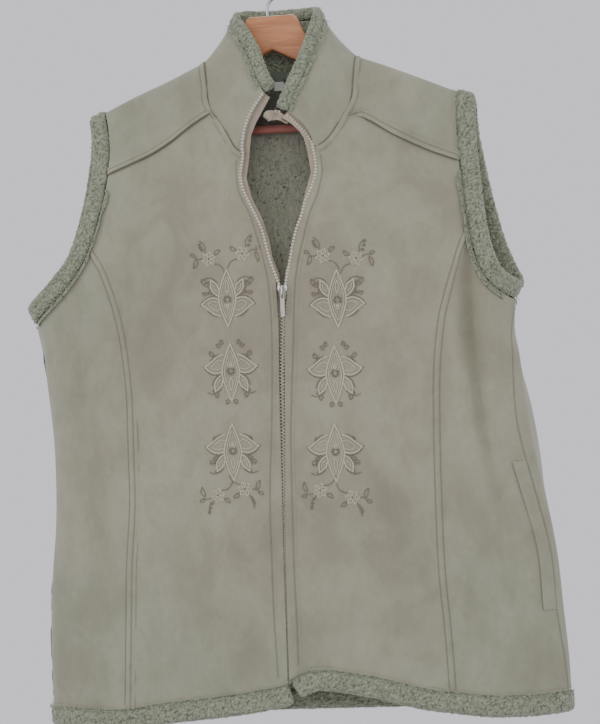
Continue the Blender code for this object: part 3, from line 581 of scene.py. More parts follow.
def makePanel(node, levels):
    obj = copySolid(node, node + "_cloth")
    splitSheets(obj, node)
    obj.data.materials.append(finishes["suede"])
    obj.data.materials.append(finishes["inside"])
    smoothed(obj, levels)
    addStep(obj, "BEVEL", width=cloth["roll"], segments=2, limit_method="ANGLE", angle_limit=math.radians(50))
    applyAll(obj)
    points = readPoints(obj)
    # painted shade in the deep creases, kept for the suede finish
    depth = creaseShift(points) * np.where(points[:, 1] < 0, 1, -1)
    shade = np.clip(depth / cloth["deepCrease"], 0, 1) * cloth["creaseShade"]
    keepValues(obj, "seamShade", shade)
    writePoints(obj, restCloth(points))
    return finishPiece(obj, [node])


panels = {}
for node in (
    "front_left", "front_right", "side_front_left", "side_front_right", "yoke_left", "yoke_right", "collar",
    "pocket_welt_left", "pocket_welt_right", "back",
):
    panels[node] = makePanel(node, cloth["sideLevels" if "side" in node else "levels"])
for side in ("left", "right"):  # the welts lie down on the cloth
    under = BVHTree.FromObject(panels["side_front_" + side], bpy.context.evaluated_depsgraph_get())
    points = readPoints(panels["pocket_welt_" + side])
    for k, point in enumerate(points):
        hit = under.find_nearest(Vector(point))[0]
        points[k] += (np.array(hit) - point) * cloth["press"][side]
    writePoints(panels["pocket_welt_" + side], points)
print("cloth panels made")


fleece = {"voxel": 0.00125, "curl": 0.0026, "rise": 0.0011, "knot": 0.0014, "knotRise": 0.0009}


def raiseCurls(obj, share=None):
    # Curls pushed out of the surface, with their height kept for the finish.
    before, normals = readPoints(obj), readNormals(obj)
    curls = ("VORONOI", fleece["curl"], -fleece["rise"]), ("DISTORTED_NOISE", fleece["knot"], fleece["knotRise"])
    for kind, size, rise in curls:
        texture = bpy.data.textures.new(kind.lower(), kind)
        texture.noise_scale = size
        if kind == "DISTORTED_NOISE":
            texture.distortion = 1.6
            texture.noise_distortion = "VORONOI_F1"
        addStep(obj, "DISPLACE", texture=texture, texture_coords="LOCAL", direction="NORMAL", strength=rise, mid_level=0.5)
    applyAll(obj)
    after = readPoints(obj)
    height = ((after - before) * normals).sum(1)
    if share is not None:
        height = height * share
        writePoints(obj, before + normals * height[:, None])
    low, high = np.percentile(height, (4, 97)) if share is None else (-0.0009, 0.0009)
    keepValues(obj, "curlHeight", np.clip((height - low) / (high - low), 0, 1))


def makeEdge(node):
    obj = copySolid(node, node + "_pile")
    smoothed(obj, 2)
    addStep(obj, "REMESH", mode="VOXEL", voxel_size=fleece["voxel"])
    applyAll(obj)
    writePoints(obj, restCloth(readPoints(obj)))
    raiseCurls(obj)
    obj.data.materials.append(finishes["pile"])
    return finishPiece(obj, [node])


edges = {node: makeEdge(node) for node in ("collar_trim", "armhole_trim_left", "armhole_trim_right", "hem_trim")}
print("fleece edges made")


def makeHard(node, name, finish, width, rider=body):
    obj = copySolid(node, name)
    if width:
        addStep(obj, "BEVEL", width=width, segments=2, limit_method="ANGLE", angle_limit=math.radians(35))
    applyAll(obj)
    obj.data.materials.append(finishes[finish])
    return finishPiece(obj, [node], rider)


makeHard("hanger_wood", "hanger_shaped_wood", "wood", 0.0006)
makeHard("hanger_bar", "hanger_dowel", "bar", 0.0006)
runner = {
    "aside": 0.0013,
    "eye": ((0.01025, -0.054, -0.36055), (0.0021, 0.006, 0.0061)),
    "crown": (
        # place and size in millimetres: the two shoulders and the bar between them
        (6.7, -51.5, -352.4, 3.3, 3.4, 7.2), (13.8, -51.5, -352.4, 3.3, 3.4, 7.2), (10.25, -56.3, -355.0, 1.7, 1.6, 9.6),
    ),
}
metals = ("zip_slider", "zip_slider_body", "slider", body), ("zip_pull", "zip_pull_tab", "tab", "pull_tab")
for node, name, finish, rider in metals:
    metal = makeHard(node, name, finish, 0.0002, rider=rider)
    writePoints(metal, readPoints(metal) + np.array([runner["aside"], 0, 0]))
    if node == "zip_pull":  # the eye through which the crown's bar passes
        bpy.ops.mesh.primitive_cube_add(size=1, location=runner["eye"][0], scale=runner["eye"][1])
        punch = bpy.context.object
        addStep(metal, "BOOLEAN", object=punch)
        applyAll(metal)
        bpy.data.objects.remove(punch)
hook = copySolid("hanger_hook", "hanger_wire_hook")
smoothed(hook, 1)
applyAll(hook)
hook.data.materials.append(finishes["wire"])
finishPiece(hook, ["hanger_hook"])
tapes = {}
tapeLie = {
    # how far each tape lies back from the opening, by height
    "left": ((-358, -349, -335, -300), (0, 2.0, 2.0, 0)),
    "right": ((-358, -349, -335, -300, -222, -202, -172, -162), (0, 2.0, 2.0, 0, 0, -3.6, -3.6, -1.5)),
}
for side in ("left", "right"):
    tape = copySolid("zip_tape_" + side, "zip_tape_cloth_" + side)
    points = restCloth(readPoints(tape))
    apart = np.interp(points[:, 2] * 1000, *tapeLie[side]) / 1000
    points[:, 0] += apart * (-1 if side == "left" else 1)
    writePoints(tape, points)
    tape.data.materials.append(finishes["tape"])
    tapes[side] = finishPiece(tape, ["zip_tape_" + side])
makeHard("neck_label", "blank_label", "label", 0)
print("hanger, slider, tapes and label made")


# Everything sewn on is laid on the made cloth. Lines are given in millimetres, as (x, z), or taken from the solids.
def skinOf(pieces):
    points, faces = [], []
    for obj in pieces:
        start = len(points)
        points.extend(vertex.co.copy() for vertex in obj.data.vertices)
        faces.extend([start + i for i in polygon.vertices] for polygon in obj.data.polygons)
    return BVHTree.FromPolygons(points, faces)


skin = skinOf([panel for node, panel in panels.items() if "welt" not in node])
facingFront = [0.0, -1.0, 0.0]


def unit(vectors):
    return vectors / np.maximum(np.linalg.norm(vectors, axis=-1, keepdims=True), 1e-9)


def soften(values, rounds):
    for _ in range(rounds):
        values = values.copy()
        values[1:-1] = values[:-2] * 0.25 + values[1:-1] * 0.5 + values[2:] * 0.25
    return values


def evenLine(places, step):
    # A smooth line through the places, in even steps.
    places = np.array(places, float)
    padded = np.vstack([2 * places[0] - places[1], places, 2 * places[-1] - places[-2]])
    fine = []
    for a, b, c, d in zip(padded, padded[1:], padded[2:], padded[3:]):
        for t in np.linspace(0, 1, 12, endpoint=False):
            fine.append(0.5 * (2 * b + (c - a) * t + (2 * a - 5 * b + 4 * c - d) * t * t + (3 * b - a - 3 * c + d) * t**3))
    fine = np.array([*fine, places[-1]])
    run = np.concatenate([[0], np.cumsum(np.linalg.norm(np.diff(fine, axis=0), axis=1))])
    at = np.linspace(0, run[-1], max(3, round(run[-1] / step) + 1))
    return np.stack([np.interp(at, run, fine[:, k]) for k in range(fine.shape[1])], axis=1)


def onFront(places, step=2.5, tree=None):
    # A line of (x, z) in millimetres, put on the cloth as seen from the front.
    flat = evenLine(places, step) / 1000
    depths = []
    for x, z in flat:
        hit = (tree or skin).ray_cast(Vector((x, -1, z)), Vector((0, 1, 0)))[0]
        depths.append(np.nan if hit is None else hit.y)
    depths = np.array(depths)
    middle = np.nanmedian(depths)
    for k in range(len(depths)):
        near = depths[max(0, k - 4):k + 5]
        near = near[~np.isnan(near)]
        local = np.median(near) if len(near) else middle
        if np.isnan(depths[k]) or abs(depths[k] - local) > 0.002:
            depths[k] = local
    depths = soften(depths, 2)
    return np.stack([flat[:, 0], depths, flat[:, 1]], axis=1)


def seamBetween(node, others):
    # The outer edge along which one solid meets others, in order.
    rest = skinOf([frame["nodes"][name] for name in others])
    own = {tuple(round(value, 5) for value in vertex.co) for vertex in frame["nodes"][node].data.vertices}
    own = np.array([point for point in sorted(own) if rest.find_nearest(Vector(point), 0.0012)[0] is not None])
    out = np.abs(own[:, 1]) + np.abs(own[:, 0] - 0.01) + own[:, 2]
    gaps = np.linalg.norm(own[:, None] - own[None], axis=2)
    inner = ((gaps < 0.0068) & (out[None] > out[:, None] + 0.0012)).any(axis=1)
    left = [tuple(point) for point in own[~inner]]
    gaps = np.linalg.norm(np.array(left)[:, None] - np.array(left)[None], axis=2)
    chain = [left.pop(int(gaps.sum(axis=1).argmax()))]
    while left:
        away = np.linalg.norm(np.array(left) - np.array(chain[-1]), axis=1)
        k = int(away.argmin())
        if away[k] > 0.07:
            break
        if away[k] > 0.0012:
            chain.append(left[k])
        left.pop(k)
    print("seam of", node, len(own), "corners,", len(chain), "in line")
    return restCloth(soften(evenLine(chain, 0.0025), 2))


def across(line, towards=None):
    # The cloth's own direction outwards along a line, and the direction to one side.
    tangent = unit(np.gradient(line, axis=0))
    normal = np.array([skin.find_nearest(Vector(point))[1][:] for point in line])
    for side in (0.003, -0.003):
        beside = line + np.cross(tangent, unit(normal)) * side
        normal = normal + np.array([skin.find_nearest(Vector(point))[1][:] for point in beside])
    normal = unit(soften(unit(normal), 6))
    normal = unit(normal - tangent * (normal * tangent).sum(1)[:, None])
    side = np.cross(tangent, normal)
    if towards is not None:
        middle = len(line) // 2
        if np.dot(side[middle], np.array(towards) - line[middle]) < 0:
            side = -side
    return tangent, side, normal


def layBand(line, profile, towards=None, taper=0.004):
    # A strip of cloth along a line. Each row of the profile is a distance to one side and a height, in millimetres, and
    # how much painted shade darkens the suede there.
    tangent, side, normal = across(line, towards)
    offsets, heights, shades = np.array(profile, float).T
    offsets, heights = offsets / 1000, heights / 1000
    places = line[:, None] + side[:, None] * offsets[None, :, None]
    rise = np.zeros(places.shape[:2])
    for s, row in enumerate(places):
        for k, place in enumerate(row):
            hit = skin.find_nearest(Vector(place))[0]
            rise[s, k] = np.dot(np.array(hit) - place, normal[s])
    middle = np.median(rise, axis=1)[:, None]
    rise = soften(np.clip(rise, middle - 0.0012, middle + 0.0012), 3)
    run = np.arange(len(line)) * np.linalg.norm(line[1] - line[0])
    fade = np.clip(np.minimum(run, run[-1] - run) / max(taper, 1e-6), 0, 1)[:, None]
    height = heights[None] * fade - 0.0005 * (1 - fade)
    return places + normal[:, None] * (rise + height)[..., None], normal, np.tile(shades, (len(line), 1))


def newPiece(name, points, faces, finish, angle=180):
    mesh = bpy.data.meshes.new(name)
    mesh.from_pydata(points, [], faces)
    obj = bpy.data.objects.new(name, mesh)
    bpy.context.scene.collection.objects.link(obj)
    mesh.materials.append(finishes[finish])
    selectOnly(obj)
    if angle < 180:
        bpy.ops.object.shade_smooth_by_angle(angle=math.radians(angle))
    else:
        bpy.ops.object.shade_smooth()
    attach(obj, body)
    return obj


def meshOfGrids(name, grids, finish):
    points, faces, shades = [], [], []
    for grid, normal, *rest in grids:
        if rest:
            shades.extend(rest[0].reshape(-1).tolist())
        start = len(points)
        rows, columns = grid.shape[:2]
        points.extend(grid.reshape(-1, 3).tolist())
        middle = rows // 2
        turn = np.cross(grid[middle, 1] - grid[middle, 0], grid[middle + 1, 0] - grid[middle, 0])
        forward = np.dot(turn, normal[middle]) > 0
        for s in range(rows - 1):
            for k in range(columns - 1):
                a = start + s * columns + k
                face = (a, a + 1, a + 1 + columns, a + columns)
                faces.append(face if forward else face[::-1])
    obj = newPiece(name, points, faces, finish)
    if shades:
        keepValues(obj, "seamShade", shades)
    return obj


def repeatPiece(master, frames, name, finish):
    # One mesh that holds a copy of the master in every frame, which is a place and three axes with their sizes.
    points = readPoints(master)
    polygons = [tuple(face.vertices) for face in master.data.polygons]
    places = np.array([place for place, axes in frames])
    axes = np.array([axes for place, axes in frames])
    moved = np.einsum("pk,nkj->npj", points, axes) + places[:, None]
    faces = [tuple(i + n * len(points) for i in polygon) for n in range(len(frames)) for polygon in polygons]
    return newPiece(name, moved.reshape(-1, 3).tolist(), faces, finish, 40)


# Each seam: how its cloth stands up beside the line, and where its stitching lies.
seam = {
    # distance to one side, height, and how much painted shade darkens the suede there
    "felled": ((-7.2, -0.9, 0), (-5.8, 0.2, 0), (-4.7, 0.5, 0), (-3.9, 0.35, 0.3), (-3.3, 0.02, 0.62), (-2.7, 0.3, 0.3),
               (-1.8, 1.2, 0), (0, 1.55, 0), (1.8, 1.2, 0), (2.7, 0.3, 0.3), (3.3, 0.02, 0.62), (3.9, 0.35, 0.2),
               (4.7, 0.5, 0), (5.8, 0.2, 0), (7.2, -0.9, 0)),
    "lapped": ((-4.6, -0.9, 0), (-3.0, 0.1, 0.1), (-1.6, 0.1, 0.4), (-0.8, 0.06, 1), (-0.3, 0.2, 1), (0.0, 1.5, 0.7),
               (0.5, 2.1, 0), (1.8, 2.2, 0), (3.3, 1.7, 0), (4.3, 0.7, 0.2), (5.0, 0.25, 0.7), (5.7, 0.55, 0.1),
               (6.8, 0.5, 0), (8.8, -0.9, 0)),
    "neck": ((-4.0, -0.9, 0), (-2.4, 0.1, 0.1), (-1.2, 0.1, 0.4), (-0.5, 0.06, 1), (-0.1, 0.25, 0.9), (0.2, 1.2, 0.5),
             (0.7, 1.6, 0), (2.4, 1.65, 0), (4.3, 1.2, 0), (5.3, 0.5, 0.2), (6.0, 0.15, 0.6), (6.8, 0.5, 0.1),
             (7.8, 0.45, 0), (9.8, -0.9, 0)),
    "groove": ((-5.2, -0.9, 0), (-3.6, 0.4, 0), (-2.1, 0.85, 0), (-1.0, 0.4, 0.2), (0, 0.02, 0.6), (1.0, 0.4, 0.2),
               (2.1, 0.85, 0), (3.6, 0.4, 0), (5.2, -0.9, 0)),
    "tick": ((-3.2, -0.9, 0), (-2.0, 0.5, 0), (-0.9, 0.3, 0.4), (0, 0.02, 0.95), (0.9, 0.4, 0.4), (2.0, 0.7, 0),
             (3.2, -0.9, 0)),
    "pitch": 3.1, "stitch": 2.5, "thick": 0.5,
    # sewing lines drawn on the fronts, as (x, z): the zip's bands, and the short marks at their tops
    "drawn": (
        ("groove", (
            (-34.5, -213), (-36.2, -222), (-35.2, -238), (-31.7, -253.9), (-21.4, -275.5), (-13.8, -301.8), (-8.3, -324.8),
            (-3.9, -353.9), (-2.8, -405.6), (-5.7, -487.1), (-10.4, -560), (-11.1, -632.9), (-10.7, -696.1), (-8.4, -757),
        )),
        ("groove", (
            (51.5, -211), (54, -225), (54.2, -237.3), (48.9, -258.2), (40.3, -278.6), (33.2, -304), (27.2, -326.4),
            (22.6, -355), (19.6, -406.4), (15.4, -470), (13.2, -514.5), (12.1, -633.1), (13, -696.1), (13.1, -745),
        )),
        ("tick", ((-36, -212.8), (-32, -211.4), (-28.4, -209.4))),
        ("tick", ((44.4, -205.6), (48.2, -206.4), (52.4, -207.8))),
    ),
    # each stitch row's distance to one side and its height
    "rows": {
        "felled": ((-3.1, 0.15), (3.1, 0.15)), "lapped": ((5.0, 0.4),), "neck": ((6.0, 0.35),),
        "groove": ((0.0, 0.15),), "tick": (),
    },
}


def midOf(node):
    low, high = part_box(node)
    return (np.array(low) + np.array(high)) / 2


def stitchFrames(line, offset, lift, towards=None):
    tangent, side, normal = across(line, towards)
    moved = line + side * offset / 1000
    run = np.concatenate([[0], np.cumsum(np.linalg.norm(np.diff(moved, axis=0), axis=1))])
    frames = []
    for at in np.arange(seam["pitch"] / 2000, run[-1], seam["pitch"] / 1000):
        k = min(int(np.searchsorted(run, at)), len(run) - 1)
        part = (at - run[k - 1]) / max(run[k] - run[k - 1], 1e-9)
        place = moved[k - 1] * (1 - part) + moved[k] * part
        out, along = normal[k], tangent[k]
        place = place + out * (np.dot(np.array(skin.find_nearest(Vector(place))[0]) - place, out) + lift / 1000)
        thick = seam["thick"] / 1000
        frames.append((place, (along * seam["stitch"] / 1000, np.cross(out, along) * thick, out * thick)))
    return frames


bpy.ops.object.select_all(action="DESELECT")
bpy.ops.mesh.primitive_uv_sphere_add(segments=5, ring_count=3, radius=0.5, location=(0, 0, 0), rotation=(0, math.pi / 2, 0))
oneStitch = bpy.context.object
bpy.ops.object.transform_apply(location=True, rotation=True, scale=True)

sides = ("left", "right")
seamLines = [(seamBetween("front_" + side, ["side_front_" + side]), "felled", None) for side in sides]
seamLines += [(seamBetween("yoke_" + side, ["front_" + side]), "lapped", midOf("yoke_" + side)) for side in sides]
seamLines += [(seamBetween("yoke_" + side, ["back"]), "lapped", midOf("yoke_" + side)) for side in sides]
seamLines += [(seamBetween("side_front_" + side, ["back"]), "groove", None) for side in sides]
neckPieces = ["front_left", "yoke_left", "back", "yoke_right", "front_right"]
seamLines.append((seamBetween("collar", neckPieces), "neck", (0.01, 0, -0.5)))
seamLines += [(onFront(places), kind, None) for kind, places in seam["drawn"]]
bands, sewn = [], []
for line, kind, towards in seamLines:
    bands.append(layBand(line, seam[kind], towards, 0.0015 if kind == "tick" else 0.004))
    for offset, lift in seam["rows"][kind]:
        sewn.extend(stitchFrames(line, offset, lift, towards))
meshOfGrids("seam_laps", bands, "suede")
print("seams lapped")

# Topstitching beside the fleece edges.
edgeLines = {
    "armholeLeft": (
        seamBetween("armhole_trim_left", ["front_left", "side_front_left", "yoke_left", "back"]), (-0.05, 0, -0.3),
    ),
    "armholeRight": (
        seamBetween("armhole_trim_right", ["front_right", "side_front_right", "yoke_right", "back"]), (0.05, 0, -0.3),
    ),
    "collarTop": (seamBetween("collar_trim", ["collar"]), (0.01, -0.03, -0.3)),
    "hem": (
        seamBetween("hem_trim", ["front_left", "side_front_left", "back", "side_front_right", "front_right"]),
        (0.01, 0, -0.3),
    ),
}
lips = {
    # the fleece laps over the suede here, in the same numbers as a seam
    "narrow": ((-5.0, 2.0, 0), (-3.6, 2.1, 0), (-2.4, 1.9, 0), (-1.3, 1.5, 0), (-0.5, 1.0, 0), (0.1, 0.4, 0),
               (0.6, -0.6, 0)),
    "wide": ((-6.8, 0.9, 0), (-5.0, 1.3, 0), (-3.0, 1.6, 0), (-1.0, 1.6, 0), (0.8, 1.4, 0), (2.2, 1.0, 0),
             (3.0, 0.3, 0), (3.4, -0.6, 0)),
    "levels": 1, "taper": 0.005, "step": 0.0022, "rows": {"narrow": (2.8,), "wide": (4.4, 6.0)}, "stitchLift": 0.12,
}
for name, (line, towards) in edgeLines.items():
    kind = "wide" if name == "collarTop" else "narrow"
    grid, normal, shades = layBand(evenLine(line, lips["step"]), lips[kind], towards, lips["taper"])
    lip = meshOfGrids(name + "_lip", [(grid, normal)], "pile")
    smoothed(lip, lips["levels"])
    applyAll(lip)
    raiseCurls(lip)
    selectOnly(lip)
    bpy.ops.object.shade_smooth()
    edges[name + "_lip"] = lip
    for offset in lips["rows"][kind]:
        sewn.extend(stitchFrames(line, offset, lips["stitchLift"], towards))
repeatPiece(oneStitch, sewn, "seam_stitching", "thread")
print("stitches", len(sewn))


# The zip: a beaded row along each open edge, and the two rows meshed below the slider.
zipper = {
    "step": 1.7, "wide": 3.0, "high": 1.8, "thick": 1.9, "proud": 0.0004, "inland": 3.2, "cord": (0.0012, 0.0016),
    "left": (
        (-6, -150), (-10.6, -155.5), (-18.6, -167.3), (-25.6, -182.4), (-29.6, -200.7), (-29.2, -212), (-31, -225),
        (-31.4, -235), (-28.6, -248), (-22.4, -262), (-15.4, -277), (-9.4, -292), (-5.6, -307.9), (-1.8, -323.6),
        (3.4, -339.4), (7.0, -349.6),
    ),
    "right": (
        (7, -166.5), (16.5, -170.5), (24, -176.5), (35.6, -189), (42.6, -200), (45.2, -210), (47.8, -226),
        (47, -238), (42.6, -251), (36.6, -264), (32.4, -278), (26.8, -292), (22.2, -308), (18.6, -325),
        (15.2, -339.4), (13.4, -349.6),
    ),
    "chain": ((10.3, -362), (9.5, -385), (7.4, -420), (5.9, -450), (4.7, -519), (2.4, -633), (2.2, -700), (2.1, -757)),
    # in metres: the closed teeth's width, slant, height, depth and place beside the middle, and the cord behind them
    "chainDepth": -0.0462, "chainTooth": (0.0036, 0.0010, 0.0017, 0.0019), "chainAside": 0.0011,
    "chainCord": (0.0019, 0.0011),
}
bpy.ops.object.select_all(action="DESELECT")
bpy.ops.mesh.primitive_cube_add(size=1, location=(0, 0, 0))
oneTooth = bpy.context.object
bpy.ops.object.mode_set(mode="EDIT")
bpy.ops.mesh.select_all(action="SELECT")
bpy.ops.mesh.bevel(offset=0.2, segments=1, affect="EDGES")
bpy.ops.object.mode_set(mode="OBJECT")
flap = {
    "path": ((19, -178), (12, -173.4), (5, -170.6), (-1, -171.2), (-4.4, -174.4)),
    "width": 11.0, "depth": -0.0290, "crumple": 0.0022, "fold": 0.0018, "thick": 0.0007,
    "breadth": ((0, 0.3, 0.55, 0.8, 1), (0.45, 0.62, 0.82, 1.0, 0.75)), "across": np.array([-1, -0.5, 0, 0.5, 1]),
}
spine = evenLine(flap["path"], 1.2) / 1000
spine = np.stack([spine[:, 0], flap["depth"] + flap["crumple"] * np.sin(np.linspace(0, 13, len(spine))), spine[:, 1]], axis=1)
tangent = unit(np.gradient(spine, axis=0))
beside = unit(np.cross(facingFront, tangent))
breadth = np.interp(np.linspace(0, 1, len(spine)), *flap["breadth"])[:, None, None] * flap["width"] / 2000
strip = spine[:, None] + beside[:, None] * breadth * flap["across"][None, :, None]
strip[:, :, 1] += flap["fold"] * np.cos(flap["across"] * 3.4)[None]
endFlap = meshOfGrids("zip_tape_end", [(strip, np.tile(facingFront, (len(spine), 1)))], "tape")
addStep(endFlap, "SOLIDIFY", thickness=flap["thick"])
applyAll(endFlap)
teeth, meshed, cords = [], [], []
ring = [(math.cos(turn), math.sin(turn)) for turn in np.linspace(0, 2 * math.pi, 9)]
zipSkin = skinOf([*panels.values(), *tapes.values(), edges["collar_trim"], endFlap])
for side, sign in (("left", 1), ("right", -1)):
    line = onFront(zipper[side], zipper["step"], zipSkin)
    inland = onFront([(x - sign * zipper["inland"], z) for x, z in zipper[side]], zipper["step"])[:, 1]
    inland = np.interp(np.linspace(0, 1, len(line)), np.linspace(0, 1, len(inland)), inland)
    line[:, 1] = soften(np.minimum(soften(inland, 20), soften(line[:, 1], 6)), 4) - zipper["proud"]
    tangent = unit(np.gradient(line, axis=0))
    for place in line:
        hit = zipSkin.ray_cast(Vector((place[0], -1, place[2])), Vector((0, 1, 0)))[0]
        if hit is not None:
            place[1] = min(place[1], hit.y - zipper["proud"])
    line[:, 1] = np.minimum(line[:, 1], soften(line[:, 1], 2))
    out = unit(np.cross(tangent, np.cross(facingFront, tangent)))
    beside = np.cross(out, tangent)
    wide, high, thick = (zipper[size] / 1000 for size in ("wide", "high", "thick"))
    teeth.extend((line[k], (beside[k] * wide, tangent[k] * high, out[k] * thick)) for k in range(0, len(line), 2))
    breadth, height = zipper["cord"]
    cord = np.stack([line + beside * breadth * c + out * (height * s - breadth) for c, s in ring], axis=1)
    cords.append((cord, beside))
chain = evenLine(zipper["chain"], zipper["step"]) / 1000
chain = np.stack([chain[:, 0], np.full(len(chain), zipper["chainDepth"]), chain[:, 1]], axis=1)
wide, slant, high, thick = zipper["chainTooth"]
for k, place in enumerate(chain):
    sign = 1 if k % 2 else -1
    aside = np.array([sign * zipper["chainAside"], 0, 0])
    meshed.append((place + aside, ((wide, 0, sign * slant), (0, 0, high), (0, -thick, 0))))
breadth, height = zipper["chainCord"]
cord = np.stack([chain + np.array([breadth * c, height + height * s, 0]) for c, s in ring], axis=1)
cords.append((cord, np.tile([1.0, 0.0, 0.0], (len(chain), 1))))
bpy.ops.object.select_all(action="DESELECT")
bpy.ops.mesh.primitive_uv_sphere_add(segments=16, ring_count=10, radius=0.5, location=(0, 0, 0))
oneLobe = bpy.context.object
crown = [(np.array(place[:3]) / 1000, np.diag(place[3:]) / 1000) for place in runner["crown"]]
repeatPiece(oneLobe, crown, "zip_slider_crown", "crown")
repeatPiece(oneTooth, teeth, "zip_teeth", "teeth")
# the closed teeth take the darker finish, painted shade for their recess
repeatPiece(oneTooth, meshed, "zip_closed_teeth", "chain")
meshOfGrids("zip_tape_cords", cords, "tape")
print("zip teeth", len(teeth))


# Embroidery: one spindle, leaves, curls and flower sprays, drawn in millimetres about each motif's middle.
needlework = {
    "pitch": 1.3, "stitch": 2.1, "bold": 2.0, "fine": 1.25, "stretch": {"bold": 1.1, "fine": 0.9}, "lean": 16,
    "half": 9.2, "tall": 29.3,
    "motifs": (
        # front, x, z, kind
        ("left", -48.5, -360.5, "upper"), ("left", -47.5, -437.5, "middle"), ("left", -48.3, -520.5, "lower"),
        ("right", 66.5, -365.5, "upper"), ("right", 61.5, -443.5, "middle"), ("right", 59.0, -524.0, "lower"),
    ),
    "sprays": (
        # x, z, turned, upside
        (-67, -319, 1, 1), (-31, -315, -1, 1), (53, -321, 1, 1), (87, -325, -1, 1),
        (-66, -565, 1, -1), (-37, -559, -1, -1), (42, -562, 1, -1), (75, -570, -1, -1),
    ),
}


def bent(start, end, bow, count=9):
    # A line from start to end that bows to its left.
    start, end = np.array(start, float), np.array(end, float)
    along = end - start
    t = np.linspace(0, 1, count)[:, None]
    return start + along * t + np.array([-along[1], along[0]]) * bow * np.sin(np.pi * t)


def leafLine(start, end, width, bow):
    # A closed leaf: pointed at its tip, round at its foot.
    spine = bent(start, end, bow, 13)
    t = np.linspace(0, 1, 13)
    swell = width * np.sin(np.pi * t) ** 0.8 * (1.15 - 0.45 * t)
    side = np.gradient(spine, axis=0)
    side = np.stack([-side[:, 1], side[:, 0]], axis=1)
    side = side / np.linalg.norm(side, axis=1, keepdims=True)
    return np.vstack([spine + side * swell[:, None], (spine - side * swell[:, None])[::-1]])


def curlLine(place, heading, size, turns=1.15, hand=1):
    t = np.linspace(0, 1, 12)
    turn = math.radians(heading) + hand * t * turns * 2 * math.pi
    reach = size * (1.25 - 0.75 * t)
    steps = np.stack([np.cos(turn), np.sin(turn)], axis=1) * reach[:, None] * 0.55
    return np.array(place, float) + np.cumsum(steps, axis=0) - steps[0]


leafEdges = {
    # one side's large and small leaf, from the spindle outwards
    # the large leaf is down in the upper motif and up in the others
    "pale": (
        (((9.2, 0.8), (13.4, -0.6), (18.2, -0.4), (23.4, 2.0), (27.4, 6.0)), "bold"),
        (((27.4, 6.0), (22.8, 9.2), (18.0, 13.2), (13.4, 16.6), (8.0, 18.4)), "bold"),
        (((10.4, 4.0), (15.6, 3.2), (20.2, 5.4), (17.4, 9.6), (12.0, 12.8), (8.6, 12.0)), "fine"),
        (((8.8, -9.4), (10.8, -14.6), (17.0, -19.4)), "bold"),
        (((17.0, -19.4), (17.4, -12.0), (14.6, -6.6), (10.4, -3.0)), "bold"),
        (((11.0, -7.6), (14.2, -10.4), (15.2, -15.0)), "fine"),
    ),
    "mauve": (
        ((10.0, -1.2), (15.0, -2.6), (20.6, -1.6), (26.0, 2.2), (29.0, 6.6)),
        ((12.4, 18.8), (16.6, 17.0), (21.0, 13.0)),
        ((9.4, -12.0), (12.6, -19.0), (19.6, -22.0), (25.0, -20.4)),
        ((12.8, -2.2), (17.6, -6.6), (20.0, -12.6)),
    ),
}


def spindleSides(reach, count, inset, weight):
    # Both long sides of the spindle, or of the finer line inside it.
    t = np.linspace(-reach, reach, count)
    swell = needlework["half"] * (1 - np.abs(t) ** 1.55) ** 1.05 - inset
    return [(np.stack([s * swell, t * needlework["tall"]], axis=1), weight) for s in (1, -1)]


def spindleStrokes(kind):
    pale = spindleSides(1, 31, 0, "bold") + spindleSides(0.74, 21, 2.3, "fine")
    flip = 1 if kind == "upper" else -1
    mauve = []
    drop = leafLine((0, flip * 6), (0, flip * 18.5), 1.9, 0.0)
    pale.append((drop, "fine"))
    for k in range(7):
        turn = 2 * math.pi * k / 7
        centre = np.array([math.cos(turn) * 2.7, math.sin(turn) * 2.9 - flip * 1.5])
        mauve.append((curlLine(centre, 51 * k, 1.05, 0.9), "fine"))
    ringTurn = np.linspace(0, 2 * math.pi, 15)
    pale.append((np.stack([np.cos(ringTurn) * 3.4, np.sin(ringTurn) * 3.0 - flip * 7.6], axis=1), "fine"))
    pale.append((np.stack([np.cos(ringTurn) * 1.3, np.sin(ringTurn) * 1.2 - flip * 7.6], axis=1), "bold"))
    high = -1 if kind == "upper" else 1
    for s in (1, -1):
        for line, weight in leafEdges["pale"]:
            pale.append((np.array(line) * (s, high), weight))
        for line in leafEdges["mauve"]:
            mauve.append((np.array(line) * (s, high), "fine"))
    curls = {
        "upper": ((26.5, 21, 2.8), (25, 14, 2.5), (26, 7, 2.3), (20.5, 5, 2.0), (20.5, 18, 1.8)),
        "middle": ((21, 22.5, 2.6), (15, 28.5, 2.4), (8.5, 34, 2.3), (18.5, 16.5, 1.9), (20, -19, 2.4),
                   (14.5, -26, 2.5), (6, -32.5, 2.4)),
        "lower": ((21, -5, 2.6), (23, -12.5, 2.5), (19.5, -20, 2.4), (20.5, 14.5, 1.9)),
    }[kind]
    for k, (x, z, size) in enumerate(curls):
        for s in (1, -1):
            heading = math.degrees(math.atan2(z, s * x)) + (40 if k % 2 else -60) * s
            mauve.append((curlLine((s * x, z), heading, size, 1.05, s if k % 2 else -s), "fine"))
    return pale, mauve


